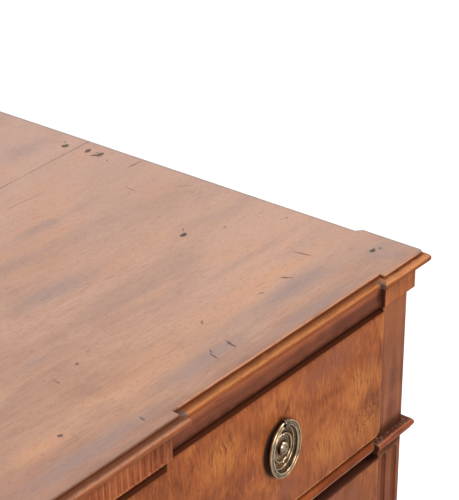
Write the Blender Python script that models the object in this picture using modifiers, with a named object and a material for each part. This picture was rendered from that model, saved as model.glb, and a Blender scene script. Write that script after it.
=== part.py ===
"""A breakfront commode with three drawers, fluted corner posts and brass ring pulls.

Metres, +Z up. The front faces -Y, and the origin is on the floor under the middle of the top.
"""

import math

import bmesh
import bpy
from mathutils import Matrix, Vector

# Overall plan
WIDTH = 1.043
DEPTH = 0.5886
HEIGHT = 0.840

# Heights of the front's parts, from the floor up
FOOT_HEIGHT = 0.1315
BASE_HEIGHT = 0.022
MIDDLE_RAIL_HEIGHT = 0.012
WAIST_HEIGHT = 0.0099
TOP_OPENING = 0.1417
FRIEZE_HEIGHT = 0.0261

# Clearances
JOINT_GAP = 0.0003
TOP_DRAWER_GAP = 0.0030
LOWER_DRAWER_GAP = 0.0105
DRAWER_SEAT_GAP = 0.0005
DRAWER_END_GAP = 0.0010
DRAWER_BACK_GAP = 0.010
EYE_GAP = 0.0006

# Edge moulding of the top, from its face down
TOP_FILLET = 0.0032
TOP_ROLL = 0.0082
TOP_LIP = 0.0069
TOP_ROLL_REACH = 0.0050

# Breaks of the top's plan, measured at the nose of its moulding
CORNER_BLOCK_WIDTH = 0.0735
CORNER_BLOCK_DEPTH = 0.081
CENTRE_BLOCK_WIDTH = 0.365
CENTRE_ADVANCE = 0.0018
BAY_STEP = 0.0056
SIDE_STEP = 0.006
SIDE_STEP_RUN = 0.006
TOP_BACK_OVERHANG = 0.008

# Setbacks of the front faces behind the nose of the corner blocks
PILASTER_SETBACK = 0.0115
CAPITAL_SETBACK = 0.0103
FRIEZE_SETBACK = 0.0135
TABLET_SETBACK = 0.0058
DRAWER_SETBACK = 0.0095
MIDDLE_RAIL_SETBACK = 0.015
WAIST_BAY_SETBACK = 0.0082
WAIST_CORNER_SETBACK = 0.0030
BASE_BAY_SETBACK = 0.0080
BASE_CORNER_SETBACK = 0.0035
CENTRE_STEP = 0.0082
CENTRE_SLOPE = 0.0090

# Posts
POST_SETBACK = 0.0208
POST_WIDTH = 0.0388
FRONT_POST_DEPTH = 0.044
BACK_POST_DEPTH = 0.036
FOOT_TIP = 0.026
POST_ROUND = 0.0010
FLUTE_WIDTH = 0.0090
FLUTE_DEPTH = 0.0034
FLUTE_SPACING = 0.0180
FLUTE_TOP_MARGIN = 0.0137
FLUTE_BASE_MARGIN = 0.018

# Capital and centre tablet
CAPITAL_REACH = 0.0117
TABLET_INSET = 0.0157
TABLET_FLUTE_PITCH = 0.0067
TABLET_FLUTE_WIDTH = 0.0048
TABLET_END_MARGIN = 0.0080
TABLET_FLUTE_DEPTH = 0.0017
TABLET_FLUTE_OVERRUN = 0.0040

# Waist and base mouldings
MOULDING_REACH = 0.0042
MOULDING_FILLET = 0.0012
MOULDING_FILLET_SETBACK = 0.0026
MOULDING_SIDE_REACH = 0.0108
MOULDING_CORNER_OVERLAP = 0.0115

# Panels, rails and runners
SIDE_RECESS = 0.0006
SIDE_THICKNESS = 0.018
FRIEZE_THICKNESS = 0.020
RAIL_DEPTH = 0.044
BACK_THICKNESS = 0.012
BOTTOM_THICKNESS = 0.0095
RUNNER_SHELF = 0.012
RUNNER_GUIDE = 0.026
RUNNER_REST = 0.016

# Drawers
CENTRE_SECTION_WIDTH = 0.3110
FRONT_THICKNESS = 0.020
FRONT_ROUND = 0.0012
FRONT_RAISE = 0.0044
DRAWER_SIDE_THICKNESS = 0.010
DRAWER_SIDE_DROP = 0.008
DRAWER_BACK_DROP = 0.014
DRAWER_FLOOR_THICKNESS = 0.007
DRAWER_FLOOR_RAISE = 0.006

# Brass pulls and escutcheons
PULL_INSET = 0.1547
PULL_RISE = 0.0034
RING_WIDTH = 0.0435
RING_HEIGHT = 0.0570
RING_TUBE = 0.0046
RING_STANDOFF = 0.0043
PLATE_WIDTH = 0.0326
PLATE_HEIGHT = 0.0454
PLATE_FIELD = 0.0014
PLATE_RIM = 0.0022
PLATE_RIM_BAND = 0.0030
PLATE_BEAD_HEIGHT = 0.0296
PLATE_BEAD = 0.0030
PLATE_BEAD_BAND = 0.0022
BOSS_RADIUS = 0.0056
BOSS_HEIGHT = 0.0062
BOSS_SHOULDER_RADIUS = 0.0040
BOSS_SHOULDER_HEIGHT = 0.0050
EYE_WALL = 0.0012
EYE_LENGTH = 0.0050
LUG_WIDTH = 0.0064
LUG_THICKNESS = 0.0012
LUG_LAP = 0.0030
ESCUTCHEON_WIDTH = 0.020
ESCUTCHEON_HEIGHT = 0.030
ESCUTCHEON_THICKNESS = 0.0016
ESCUTCHEON_BEVEL = 0.0015
KEYHOLE_RADIUS = 0.0022
KEYHOLE_SLOT_WIDTH = 0.0020
KEYHOLE_SLOT_LENGTH = 0.0080

# Facet counts
ROLL_STEPS = 6
ROUND_STEPS = 2
FLUTE_SEGMENTS = 16
FLUTE_RINGS = 9
TABLET_FLUTE_SEGMENTS = 8
TURN_STEPS = 22
ROD_SEGMENTS = 14
RING_POINTS = 30
RING_BEVEL_STEPS = 2
SMOOTH_ANGLE = math.radians(35)
MERGE_DISTANCE = 0.00001

# Heights worked out from the stack, in which the two lower openings share what is left
TOP_THICKNESS = TOP_FILLET + TOP_ROLL
FRIEZE_TOP = HEIGHT - TOP_THICKNESS
FRIEZE_LOW = FRIEZE_TOP - FRIEZE_HEIGHT
WAIST_TOP = FRIEZE_LOW - TOP_OPENING
WAIST_LOW = WAIST_TOP - WAIST_HEIGHT
BASE_TOP = FOOT_HEIGHT + BASE_HEIGHT
LOWER_OPENING = (WAIST_LOW - BASE_TOP - MIDDLE_RAIL_HEIGHT) / 2
MIDDLE_RAIL_LOW = BASE_TOP + LOWER_OPENING
MIDDLE_RAIL_TOP = MIDDLE_RAIL_LOW + MIDDLE_RAIL_HEIGHT

# Plan lines worked out from the overall plan
NOSE_X = WIDTH / 2
FRONT_Y = -DEPTH / 2
NOSE_Y = FRONT_Y + CENTRE_ADVANCE
BACK_Y = DEPTH / 2
POST_OUTER = NOSE_X - POST_SETBACK
POST_INNER = POST_OUTER - POST_WIDTH
PILASTER_Y = NOSE_Y + PILASTER_SETBACK
FRONT_POST_BACK = PILASTER_Y + FRONT_POST_DEPTH
CASE_BACK = BACK_Y - TOP_BACK_OVERHANG
BACK_POST_FRONT = CASE_BACK - BACK_POST_DEPTH
RAIL_BACK = PILASTER_Y + RAIL_DEPTH
SIDE_OUTER = POST_OUTER - SIDE_RECESS
SIDE_INNER = SIDE_OUTER - SIDE_THICKNESS
MOULDING_X = POST_OUTER + MOULDING_SIDE_REACH
MOULDING_INNER_END = POST_INNER - MOULDING_CORNER_OVERLAP
CENTRE_HALF = CENTRE_SECTION_WIDTH / 2

SIDES = (("left", -1), ("right", 1))


def clear_scene():
    """Remove whatever objects the scene holds."""
    for thing in list(bpy.data.objects):
        bpy.data.objects.remove(thing, do_unlink=True)


def make_collection(name):
    """A new collection in the scene."""
    group = bpy.data.collections.new(name)
    bpy.context.scene.collection.children.link(group)
    return group


def finish(name, colour, roughness, metallic):
    """A Principled material of one colour."""
    material = bpy.data.materials.new(name)
    material.use_nodes = True
    shader = material.node_tree.nodes["Principled BSDF"]
    shader.inputs["Base Color"].default_value = (*colour, 1.0)
    shader.inputs["Roughness"].default_value = roughness
    shader.inputs["Metallic"].default_value = metallic
    return material


def place(name, mesh, material, at=(0, 0, 0), parent=None):
    """A named piece of the commode that shows the given mesh."""
    piece = bpy.data.objects.new(name, mesh)
    piece.location = at
    piece.parent = parent
    if not mesh.materials:
        mesh.materials.append(material)
    COMMODE.objects.link(piece)
    return piece


def guide(name, mesh):
    """A cutter or a helper shape that is not a piece of the commode."""
    helper = bpy.data.objects.new(name, mesh)
    helper.hide_render = True
    helper.display_type = "WIRE"
    CUTTERS.objects.link(helper)
    return helper


def mesh_from(shape, name):
    """Close a bmesh into a mesh whose faces point out."""
    bmesh.ops.recalc_face_normals(shape, faces=shape.faces)
    mesh = bpy.data.meshes.new(name)
    shape.to_mesh(mesh)
    shape.free()
    return mesh


def block_mesh(name, size):
    """A box of the given size about its middle."""
    shape = bmesh.new()
    bmesh.ops.create_cube(shape, size=1.0, matrix=Matrix.Diagonal((*size, 1.0)))
    return mesh_from(shape, name)


def block(name, low, high, material, parent=None):
    """A box between two corners, given in any order."""
    size = [abs(b - a) for a, b in zip(low, high)]
    middle = [(a + b) / 2 for a, b in zip(low, high)]
    return place(name, block_mesh(name, size), material, middle, parent)


def loft_mesh(name, rings):
    """A closed body through rings that have the same number of points."""
    shape = bmesh.new()
    rows = [[shape.verts.new(point) for point in ring] for ring in rings]
    count = len(rings[0])
    for lower, upper in zip(rows, rows[1:]):
        for i in range(count):
            j = (i + 1) % count
            shape.faces.new((lower[i], lower[j], upper[j], upper[i]))
    shape.faces.new(rows[0])
    shape.faces.new(rows[-1])
    return mesh_from(shape, name)


def capsule_mesh(name, radius, length, segments, rings):
    """An upright round-ended rod. An odd number of rings leaves no ring at its middle."""
    shape = bmesh.new()
    bmesh.ops.create_uvsphere(shape, u_segments=segments, v_segments=rings, radius=radius)
    stretch = length / 2 - radius
    for vert in shape.verts:
        vert.co.z += math.copysign(stretch, vert.co.z)
    return mesh_from(shape, name)


def rod_mesh(name, radius, length, segments):
    """A cylinder along Z about its middle."""
    shape = bmesh.new()
    bmesh.ops.create_cone(
        shape, cap_ends=True, segments=segments, radius1=radius, radius2=radius, depth=length
    )
    return mesh_from(shape, name)


def cut(target, cutter, operation="DIFFERENCE"):
    """Add a Boolean modifier."""
    modifier = target.modifiers.new(cutter.name, "BOOLEAN")
    modifier.operation = operation
    modifier.object = cutter
    return modifier


def bake(source, name):
    """The evaluated mesh of a helper, which is then removed."""
    bpy.context.view_layer.update()
    graph = bpy.context.evaluated_depsgraph_get()
    mesh = bpy.data.meshes.new_from_object(source.evaluated_get(graph))
    mesh.name = name
    shape = bmesh.new()
    shape.from_mesh(mesh)
    bmesh.ops.remove_doubles(shape, verts=shape.verts, dist=MERGE_DISTANCE)
    shape.to_mesh(mesh)
    shape.free()
    mesh.shade_smooth()
    mesh.set_sharp_from_angle(angle=SMOOTH_ANGLE)
    bpy.data.objects.remove(source, do_unlink=True)
    return mesh


def half_round(top, bottom, reach, steps):
    """Points (inset, drop) round a roll, whose nose has no inset."""
    middle = (top + bottom) / 2
    half = (bottom - top) / 2
    turns = [math.pi * i / steps for i in range(steps + 1)]
    return [(reach * (1 - math.sin(t)), middle - half * math.cos(t)) for t in turns]


def rounded_ends(height, radius, steps):
    """Points (inset, drop) of a plain face whose two edges are rounded."""
    turns = [math.pi / 2 * i / steps for i in range(steps + 1)]
    upper = [(radius * (1 - math.sin(t)), radius * (1 - math.cos(t))) for t in turns]
    lower = [(inset, height - drop) for inset, drop in reversed(upper)]
    return upper + lower


def inset_outline(outline, moulded, distance):
    """Move the moulded edges of an outline inward and mitre them. It runs anticlockwise."""
    count = len(outline)
    normals = []
    for i in range(count):
        run = Vector(outline[(i + 1) % count]) - Vector(outline[i])
        normals.append(Vector((-run.y, run.x)).normalized())
    moved = []
    for i in range(count):
        before = normals[i - 1]
        after = normals[i]
        inset_before = distance if moulded[i - 1] else 0.0
        inset_after = distance if moulded[i] else 0.0
        lean = before.dot(after)
        shift = (inset_before - inset_after * lean) * before + (inset_after - inset_before * lean) * after
        moved.append(Vector(outline[i]) + shift / (1 - lean * lean))
    return moved


def moulded_slab(name, outline, moulded, profile, top):
    """A flat body whose moulded edges follow a profile of (inset, drop) points."""
    rings = []
    for inset, drop in profile:
        ring = inset_outline(outline, moulded, inset)
        rings.append([(point.x, point.y, top - drop) for point in ring])
    return loft_mesh(name, rings)


def mirrored(points):
    """The same outline on the other side of the commode, still anticlockwise."""
    return [(-x, y) for x, y in reversed(points)]


def both_halves(right):
    """A whole outline from its right half, which runs from the front round to the back."""
    return mirrored(right) + right


def add_top():
    """The top board, with its edge moulding round the front and the sides."""
    bay_y = NOSE_Y + BAY_STEP
    corner_back = NOSE_Y + CORNER_BLOCK_DEPTH
    corner_inner = NOSE_X - CORNER_BLOCK_WIDTH
    centre = CENTRE_BLOCK_WIDTH / 2
    side = NOSE_X - SIDE_STEP
    right = [
        (centre, FRONT_Y),
        (centre, bay_y),
        (corner_inner, bay_y),
        (corner_inner, NOSE_Y),
        (NOSE_X, NOSE_Y),
        (NOSE_X, corner_back - SIDE_STEP_RUN),
        (side, corner_back),
        (side, BACK_Y),
    ]
    outline = both_halves(right)
    moulded = [True] * (len(outline) - 1) + [False]
    profile = [(TOP_LIP, 0.0), (TOP_LIP, TOP_FILLET)]
    profile += half_round(TOP_FILLET, TOP_THICKNESS, TOP_ROLL_REACH, ROLL_STEPS)
    place("top_board", moulded_slab("top_board", outline, moulded, profile, HEIGHT), TOP_WOOD)


def add_frieze():
    """The rail under the top, its fluted tablet, the corner capitals and the side friezes."""
    low = FRIEZE_LOW
    high = FRIEZE_TOP - JOINT_GAP
    rail_y = NOSE_Y + FRIEZE_SETBACK
    rail_x = POST_INNER - JOINT_GAP
    block("frieze_rail", (-rail_x, rail_y, low), (rail_x, rail_y + FRIEZE_THICKNESS, high), FRIEZE_WOOD)
    add_tablet(low, high, rail_y - JOINT_GAP)

    capital_y = NOSE_Y + CAPITAL_SETBACK
    capital_back = NOSE_Y + CORNER_BLOCK_DEPTH
    for side, sign in SIDES:
        block(
            f"capital_{side}",
            (sign * POST_INNER, capital_y, low),
            (sign * (POST_OUTER + CAPITAL_REACH), capital_back, high),
            CASE_WOOD,
        )
        block(
            f"side_frieze_{side}",
            (sign * SIDE_INNER, capital_back + JOINT_GAP, low),
            (sign * SIDE_OUTER, BACK_POST_FRONT - JOINT_GAP, high),
            CASE_WOOD,
        )


def add_tablet(low, high, back_y):
    """The centre tablet, whose flutes run through from its top to its foot."""
    half = CENTRE_BLOCK_WIDTH / 2 - TABLET_INSET
    face_y = NOSE_Y + TABLET_SETBACK
    foot = [(-half, face_y, low), (half, face_y, low), (half, back_y, low), (-half, back_y, low)]
    head = [(x, y, high) for x, y, z in foot]
    tablet = place("fluted_tablet", loft_mesh("fluted_tablet", [foot, head]), CASE_WOOD)

    radius = groove_radius(TABLET_FLUTE_WIDTH, TABLET_FLUTE_DEPTH)
    length = high - low + 2 * TABLET_FLUTE_OVERRUN
    count = int(2 * (half - TABLET_END_MARGIN) // TABLET_FLUTE_PITCH)
    first_x = -TABLET_FLUTE_PITCH * (count - 1) / 2
    middle_y = face_y - radius + TABLET_FLUTE_DEPTH
    flute = guide("tablet_flutes", rod_mesh("tablet_flutes", radius, length, TABLET_FLUTE_SEGMENTS))
    flute.location = (first_x, middle_y, (low + high) / 2)
    repeat = flute.modifiers.new("row", "ARRAY")
    repeat.count = count
    repeat.use_relative_offset = False
    repeat.use_constant_offset = True
    repeat.constant_offset_displace = (TABLET_FLUTE_PITCH, 0.0, 0.0)
    cut(tablet, flute)


def groove_radius(width, depth):
    """Radius of the round cutter that leaves a groove of this width and depth."""
    return (width * width / 4 + depth * depth) / (2 * depth)


def add_posts():
    """Four corner posts that run down into tapered feet."""
    for side, sign in SIDES:
        front = post_mesh(
            f"front_post_{side}", sign, PILASTER_Y, FRONT_POST_BACK, FRIEZE_LOW - JOINT_GAP
        )
        add_post_flutes(place(f"front_post_{side}", front, POST_WOOD), side, sign)
        back = post_mesh(
            f"back_post_{side}", sign, BACK_POST_FRONT, CASE_BACK, FRIEZE_TOP - JOINT_GAP
        )
        place(f"back_post_{side}", back, POST_WOOD)


def post_mesh(name, sign, front_y, back_y, top):
    """A post of one section above the foot, tapering to the foot's tip on the floor."""
    middle_x = sign * (POST_INNER + POST_OUTER) / 2
    middle_y = (front_y + back_y) / 2
    rings = []
    for z, width, depth in (
        (0.0, FOOT_TIP, FOOT_TIP),
        (FOOT_HEIGHT, POST_WIDTH, back_y - front_y),
        (top, POST_WIDTH, back_y - front_y),
    ):
        left = middle_x - width / 2
        right = middle_x + width / 2
        near = middle_y - depth / 2
        far = middle_y + depth / 2
        rings.append(chamfered(left, right, near, far, z))
    return loft_mesh(name, rings)


def chamfered(left, right, near, far, z):
    """A rectangle with its four corners taken off."""
    return [
        (left + POST_ROUND, near, z),
        (right - POST_ROUND, near, z),
        (right, near + POST_ROUND, z),
        (right, far - POST_ROUND, z),
        (right - POST_ROUND, far, z),
        (left + POST_ROUND, far, z),
        (left, far - POST_ROUND, z),
        (left, near + POST_ROUND, z),
    ]


def add_post_flutes(post, side, sign):
    """Two stopped flutes in the lower shaft of a front post."""
    radius = groove_radius(FLUTE_WIDTH, FLUTE_DEPTH)
    low = BASE_TOP + FLUTE_BASE_MARGIN
    high = WAIST_LOW - FLUTE_TOP_MARGIN
    middle_x = sign * (POST_INNER + POST_OUTER) / 2
    for number, offset in enumerate((-FLUTE_SPACING / 2, FLUTE_SPACING / 2), start=1):
        name = f"flute_{side}_{number}"
        shape = capsule_mesh(name, radius, high - low, FLUTE_SEGMENTS, FLUTE_RINGS)
        cutter = guide(name, shape)
        cutter.location = (middle_x + offset, PILASTER_Y - radius + FLUTE_DEPTH, (low + high) / 2)
        cut(post, cutter)


def add_case():
    """Side panels, back boards and the bottom board."""
    for side, sign in SIDES:
        block(
            f"side_panel_{side}",
            (sign * SIDE_INNER, FRONT_POST_BACK + JOINT_GAP, FOOT_HEIGHT),
            (sign * SIDE_OUTER, BACK_POST_FRONT - JOINT_GAP, FRIEZE_LOW - JOINT_GAP),
            CASE_WOOD,
        )
    inside = POST_INNER - JOINT_GAP
    board_front = CASE_BACK - BACK_THICKNESS
    split = (BASE_TOP + FRIEZE_TOP) / 2
    block(
        "back_board_lower", (-inside, board_front, FOOT_HEIGHT), (inside, CASE_BACK, split), PLAIN_WOOD
    )
    block(
        "back_board_upper",
        (-inside, board_front, split + JOINT_GAP),
        (inside, CASE_BACK, FRIEZE_TOP - JOINT_GAP),
        PLAIN_WOOD,
    )
    board_top = BASE_TOP - RUNNER_SHELF - JOINT_GAP
    block(
        "bottom_board",
        (-inside, RAIL_BACK + JOINT_GAP, board_top - BOTTOM_THICKNESS),
        (inside, board_front - JOINT_GAP, board_top),
        PLAIN_WOOD,
    )


def ledge_profile(height):
    """Roll over a small fillet, for the waist and the base."""
    roll_low = height - MOULDING_FILLET
    roll = half_round(0.0, roll_low, MOULDING_REACH, ROLL_STEPS)
    return roll + [(MOULDING_FILLET_SETBACK, roll_low), (MOULDING_FILLET_SETBACK, height)]


def add_ledge(label, top, height, bay_setback, corner_setback, wood):
    """A moulded rail across the front and a return round each corner and side."""
    bay_y = NOSE_Y + bay_setback
    centre_y = bay_y - CENTRE_STEP
    corner_y = NOSE_Y + corner_setback
    behind_corner = PILASTER_Y + JOINT_GAP
    corner_inner = MOULDING_INNER_END
    rail_x = POST_INNER - JOINT_GAP
    profile = ledge_profile(height)
    right = [
        (CENTRE_HALF, centre_y),
        (CENTRE_HALF + CENTRE_SLOPE, bay_y),
        (corner_inner - JOINT_GAP, bay_y),
        (corner_inner - JOINT_GAP, behind_corner),
        (rail_x, behind_corner),
        (rail_x, RAIL_BACK),
    ]
    outline = both_halves(right)
    front_edges = range(len(right) - 3, len(right) + 2)
    moulded = [i in front_edges for i in range(len(outline))]
    rail = moulded_slab(f"{label}_rail", outline, moulded, profile, top)
    place(f"{label}_rail", rail, wood)

    inner_x = POST_OUTER + JOINT_GAP
    return_right = [
        (corner_inner, PILASTER_Y - JOINT_GAP),
        (corner_inner, corner_y),
        (MOULDING_X, corner_y),
        (MOULDING_X, CASE_BACK),
        (inner_x, CASE_BACK),
        (inner_x, PILASTER_Y - JOINT_GAP),
    ]
    moulded_right = [True, True, True, False, False, False]
    for side, sign in SIDES:
        name = f"{label}_moulding_{side}"
        if sign > 0:
            mesh = moulded_slab(name, return_right, moulded_right, profile, top)
        else:
            return_left = mirrored(return_right)
            moulded_left = [False, False, True, True, True, False]
            mesh = moulded_slab(name, return_left, moulded_left, profile, top)
        place(name, mesh, wood)


def add_rails():
    """Waist, middle and base rails, with the mouldings that go round the corners."""
    add_ledge("waist", WAIST_TOP, WAIST_HEIGHT, WAIST_BAY_SETBACK, WAIST_CORNER_SETBACK, POST_WOOD)
    add_ledge("base", BASE_TOP, BASE_HEIGHT, BASE_BAY_SETBACK, BASE_CORNER_SETBACK, POST_WOOD)
    rail_x = POST_INNER - JOINT_GAP
    rail_y = NOSE_Y + MIDDLE_RAIL_SETBACK
    block(
        "middle_rail",
        (-rail_x, rail_y, MIDDLE_RAIL_LOW),
        (rail_x, RAIL_BACK, MIDDLE_RAIL_TOP),
        CASE_WOOD,
    )


def add_runners(label, seat):
    """A stepped runner on each side panel, level with the rail that the drawer slides over."""
    outer = SIDE_INNER - JOINT_GAP
    section = [
        (POST_INNER - RUNNER_REST, seat - RUNNER_SHELF),
        (outer, seat - RUNNER_SHELF),
        (outer, seat + RUNNER_GUIDE),
        (POST_INNER, seat + RUNNER_GUIDE),
        (POST_INNER, seat),
        (POST_INNER - RUNNER_REST, seat),
    ]
    near = max(FRONT_POST_BACK, RAIL_BACK) + JOINT_GAP
    far = BACK_POST_FRONT - JOINT_GAP
    for side, sign in SIDES:
        rings = [[(sign * x, y, z) for x, z in section] for y in (near, far)]
        name = f"{label}_runner_{side}"
        place(name, loft_mesh(name, rings), PLAIN_WOOD)


def add_drawer(label, seat, opening, top_gap):
    """One drawer on its slide: front, sides, back, floor, escutcheon and two ring pulls."""
    slide = bpy.data.objects.new(f"{label}_slide", None)
    slide.location = (0.0, NOSE_Y + DRAWER_SETBACK, seat + DRAWER_SEAT_GAP)
    COMMODE.objects.link(slide)

    height = opening - top_gap - DRAWER_SEAT_GAP
    front_height = height - FRONT_RAISE
    half = POST_INNER - DRAWER_END_GAP
    right = [
        (CENTRE_HALF, -CENTRE_STEP),
        (CENTRE_HALF + CENTRE_SLOPE, 0.0),
        (half, 0.0),
        (half, FRONT_THICKNESS),
    ]
    outline = both_halves(right)
    moulded = [True] * (len(outline) - 1) + [False]
    profile = rounded_ends(front_height, FRONT_ROUND, ROUND_STEPS)
    front = moulded_slab(f"{label}_drawer_front", outline, moulded, profile, height)
    place(f"{label}_drawer_front", front, DRAWER_WOOD, parent=slide)

    near = FRONT_THICKNESS + JOINT_GAP
    far = CASE_BACK - BACK_THICKNESS - DRAWER_BACK_GAP - slide.location.y
    side_top = height - DRAWER_SIDE_DROP
    side_inner = half - DRAWER_SIDE_THICKNESS
    for side, sign in SIDES:
        block(
            f"{label}_drawer_{side}_side",
            (sign * side_inner, near, 0.0),
            (sign * half, far, side_top),
            PLAIN_WOOD,
            slide,
        )
    inside = side_inner - JOINT_GAP
    back_near = far - DRAWER_SIDE_THICKNESS
    block(
        f"{label}_drawer_back",
        (-inside, back_near, DRAWER_FLOOR_RAISE),
        (inside, far, height - DRAWER_BACK_DROP),
        PLAIN_WOOD,
        slide,
    )
    block(
        f"{label}_drawer_floor",
        (-inside, near, DRAWER_FLOOR_RAISE),
        (inside, back_near - JOINT_GAP, DRAWER_FLOOR_RAISE + DRAWER_FLOOR_THICKNESS),
        PLAIN_WOOD,
        slide,
    )
    add_fittings(label, slide, FRONT_RAISE + front_height / 2)


def add_fittings(label, slide, middle):
    """Brass fittings on a drawer front, with each ring hung on its hinge line."""
    face_y = -JOINT_GAP
    pull_z = middle + PULL_RISE
    for side, sign in SIDES:
        x = sign * (POST_INNER - PULL_INSET)
        plate = place(f"{label}_{side}_backplate", BACKPLATE, BRASS, (x, face_y, pull_z), slide)
        plate.rotation_euler = (math.pi / 2, 0.0, 0.0)
        hinge = (x, face_y - RING_STANDOFF, pull_z + HINGE_RISE)
        place(f"{label}_{side}_ring", RING, BRASS, hinge, slide)
    centre_y = face_y - CENTRE_STEP
    escutcheon = place(f"{label}_escutcheon", ESCUTCHEON, BRASS, (0.0, centre_y, middle), slide)
    escutcheon.rotation_euler = (math.pi / 2, 0.0, 0.0)


def turned(name, profile, width_share):
    """A turned oval: a profile of (radius, height) points, from its crown down to its back."""
    mesh = bpy.data.meshes.new(name)
    points = [(radius, 0.0, height) for radius, height in profile]
    mesh.from_pydata(points, [(i, i + 1) for i in range(len(points) - 1)], [])
    turning = guide(name, mesh)
    screw = turning.modifiers.new("turn", "SCREW")
    screw.steps = TURN_STEPS
    screw.render_steps = TURN_STEPS
    screw.use_merge_vertices = True
    screw.merge_threshold = MERGE_DISTANCE
    oval = bake(turning, name)
    oval.transform(Matrix.Diagonal((width_share, 1.0, 1.0, 1.0)))
    return guide(name, oval)


def backplate_mesh():
    """An oval plate with a rim, a bead and a boss, and the lug and eye that carry the ring."""
    rim = PLATE_HEIGHT / 2
    bead = PLATE_BEAD_HEIGHT / 2
    profile = [
        (0.0, BOSS_HEIGHT),
        (BOSS_SHOULDER_RADIUS, BOSS_SHOULDER_HEIGHT),
        (BOSS_RADIUS, PLATE_FIELD),
        (bead - PLATE_BEAD_BAND / 2, PLATE_FIELD),
        (bead, PLATE_BEAD),
        (bead + PLATE_BEAD_BAND / 2, PLATE_FIELD),
        (rim - PLATE_RIM_BAND, PLATE_FIELD),
        (rim - PLATE_RIM_BAND / 2, PLATE_RIM),
        (rim, PLATE_FIELD),
        (rim, 0.0),
        (0.0, 0.0),
    ]
    body = turned("turned_backplate", profile, PLATE_WIDTH / PLATE_HEIGHT)

    tube = RING_TUBE / 2
    bore = tube + EYE_GAP
    lug_foot = rim - LUG_LAP
    lug_size = (LUG_WIDTH, HINGE_RISE - lug_foot, LUG_THICKNESS)
    lug = guide("pull_lug", block_mesh("pull_lug", lug_size))
    lug.location = (0.0, (HINGE_RISE + lug_foot) / 2, LUG_THICKNESS / 2)
    eye = guide("pull_eye", rod_mesh("pull_eye", bore + EYE_WALL, EYE_LENGTH, ROD_SEGMENTS))
    hole = guide("pull_eye_hole", rod_mesh("pull_eye_hole", bore, EYE_LENGTH * 2, ROD_SEGMENTS))
    for shape in (eye, hole):
        shape.location = (0.0, HINGE_RISE, RING_STANDOFF)
        shape.rotation_euler = (0.0, math.pi / 2, 0.0)
    cut(body, lug, "UNION")
    cut(body, eye, "UNION")
    cut(body, hole)
    return bake(body, "backplate")


def ring_mesh():
    """An oval ring that hangs from its hinge line, which is the mesh's origin."""
    curve = bpy.data.curves.new("ring_path", "CURVE")
    curve.dimensions = "3D"
    curve.bevel_depth = RING_TUBE / 2
    curve.bevel_resolution = RING_BEVEL_STEPS
    half_width = (RING_WIDTH - RING_TUBE) / 2
    spline = curve.splines.new("POLY")
    spline.points.add(RING_POINTS - 1)
    spline.use_cyclic_u = True
    for i, point in enumerate(spline.points):
        turn = math.tau * i / RING_POINTS
        point.co = (half_width * math.sin(turn), 0.0, HINGE_RISE * (math.cos(turn) - 1), 1.0)
    return bake(guide("ring_path", curve), "ring")


def escutcheon_mesh():
    """A flat oval plate with a keyhole."""
    rim = ESCUTCHEON_HEIGHT / 2
    profile = [
        (0.0, ESCUTCHEON_THICKNESS),
        (rim - ESCUTCHEON_BEVEL, ESCUTCHEON_THICKNESS),
        (rim, ESCUTCHEON_THICKNESS / 2),
        (rim, 0.0),
        (0.0, 0.0),
    ]
    body = turned("turned_escutcheon", profile, ESCUTCHEON_WIDTH / ESCUTCHEON_HEIGHT)
    through = ESCUTCHEON_THICKNESS * 4
    eye = guide("keyhole_eye", rod_mesh("keyhole_eye", KEYHOLE_RADIUS, through, ROD_SEGMENTS))
    slot = guide(
        "keyhole_slot", block_mesh("keyhole_slot", (KEYHOLE_SLOT_WIDTH, KEYHOLE_SLOT_LENGTH, through))
    )
    slot.location = (0.0, -KEYHOLE_SLOT_LENGTH / 2, 0.0)
    cut(body, eye)
    cut(body, slot)
    return bake(body, "escutcheon")


clear_scene()
COMMODE = make_collection("commode")
CUTTERS = make_collection("cutters")

TOP_WOOD = finish("top_wood", (0.36, 0.19, 0.115), 0.42, 0.0)
CASE_WOOD = finish("case_wood", (0.27, 0.105, 0.045), 0.40, 0.0)
POST_WOOD = finish("post_wood", (0.24, 0.085, 0.040), 0.42, 0.0)
FRIEZE_WOOD = finish("frieze_wood", (0.17, 0.060, 0.035), 0.45, 0.0)
DRAWER_WOOD = finish("drawer_wood", (0.30, 0.110, 0.042), 0.38, 0.0)
PLAIN_WOOD = finish("plain_wood", (0.42, 0.27, 0.15), 0.65, 0.0)
BRASS = finish("brass", (0.50, 0.38, 0.20), 0.32, 1.0)

HINGE_RISE = (RING_HEIGHT - RING_TUBE) / 2
BACKPLATE = backplate_mesh()
RING = ring_mesh()
ESCUTCHEON = escutcheon_mesh()

add_top()
add_frieze()
add_posts()
add_case()
add_rails()
add_runners("top", WAIST_TOP)
add_runners("middle", MIDDLE_RAIL_TOP)
add_runners("bottom", BASE_TOP)
add_drawer("top", WAIST_TOP, TOP_OPENING, TOP_DRAWER_GAP)
add_drawer("middle", MIDDLE_RAIL_TOP, LOWER_OPENING, LOWER_DRAWER_GAP)
add_drawer("bottom", BASE_TOP, LOWER_OPENING, LOWER_DRAWER_GAP)
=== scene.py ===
"""Looks of the breakfront commode: dressed pieces, finishes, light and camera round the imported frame.

Metres, +Z up, the front faces -Y. Every dressed piece lies at the origin with its place in its mesh,
so object coordinates are the commode's own coordinates and travel with a drawer.
"""

import math

import bmesh
import bpy
from mathutils import Matrix, Vector, noise


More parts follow.
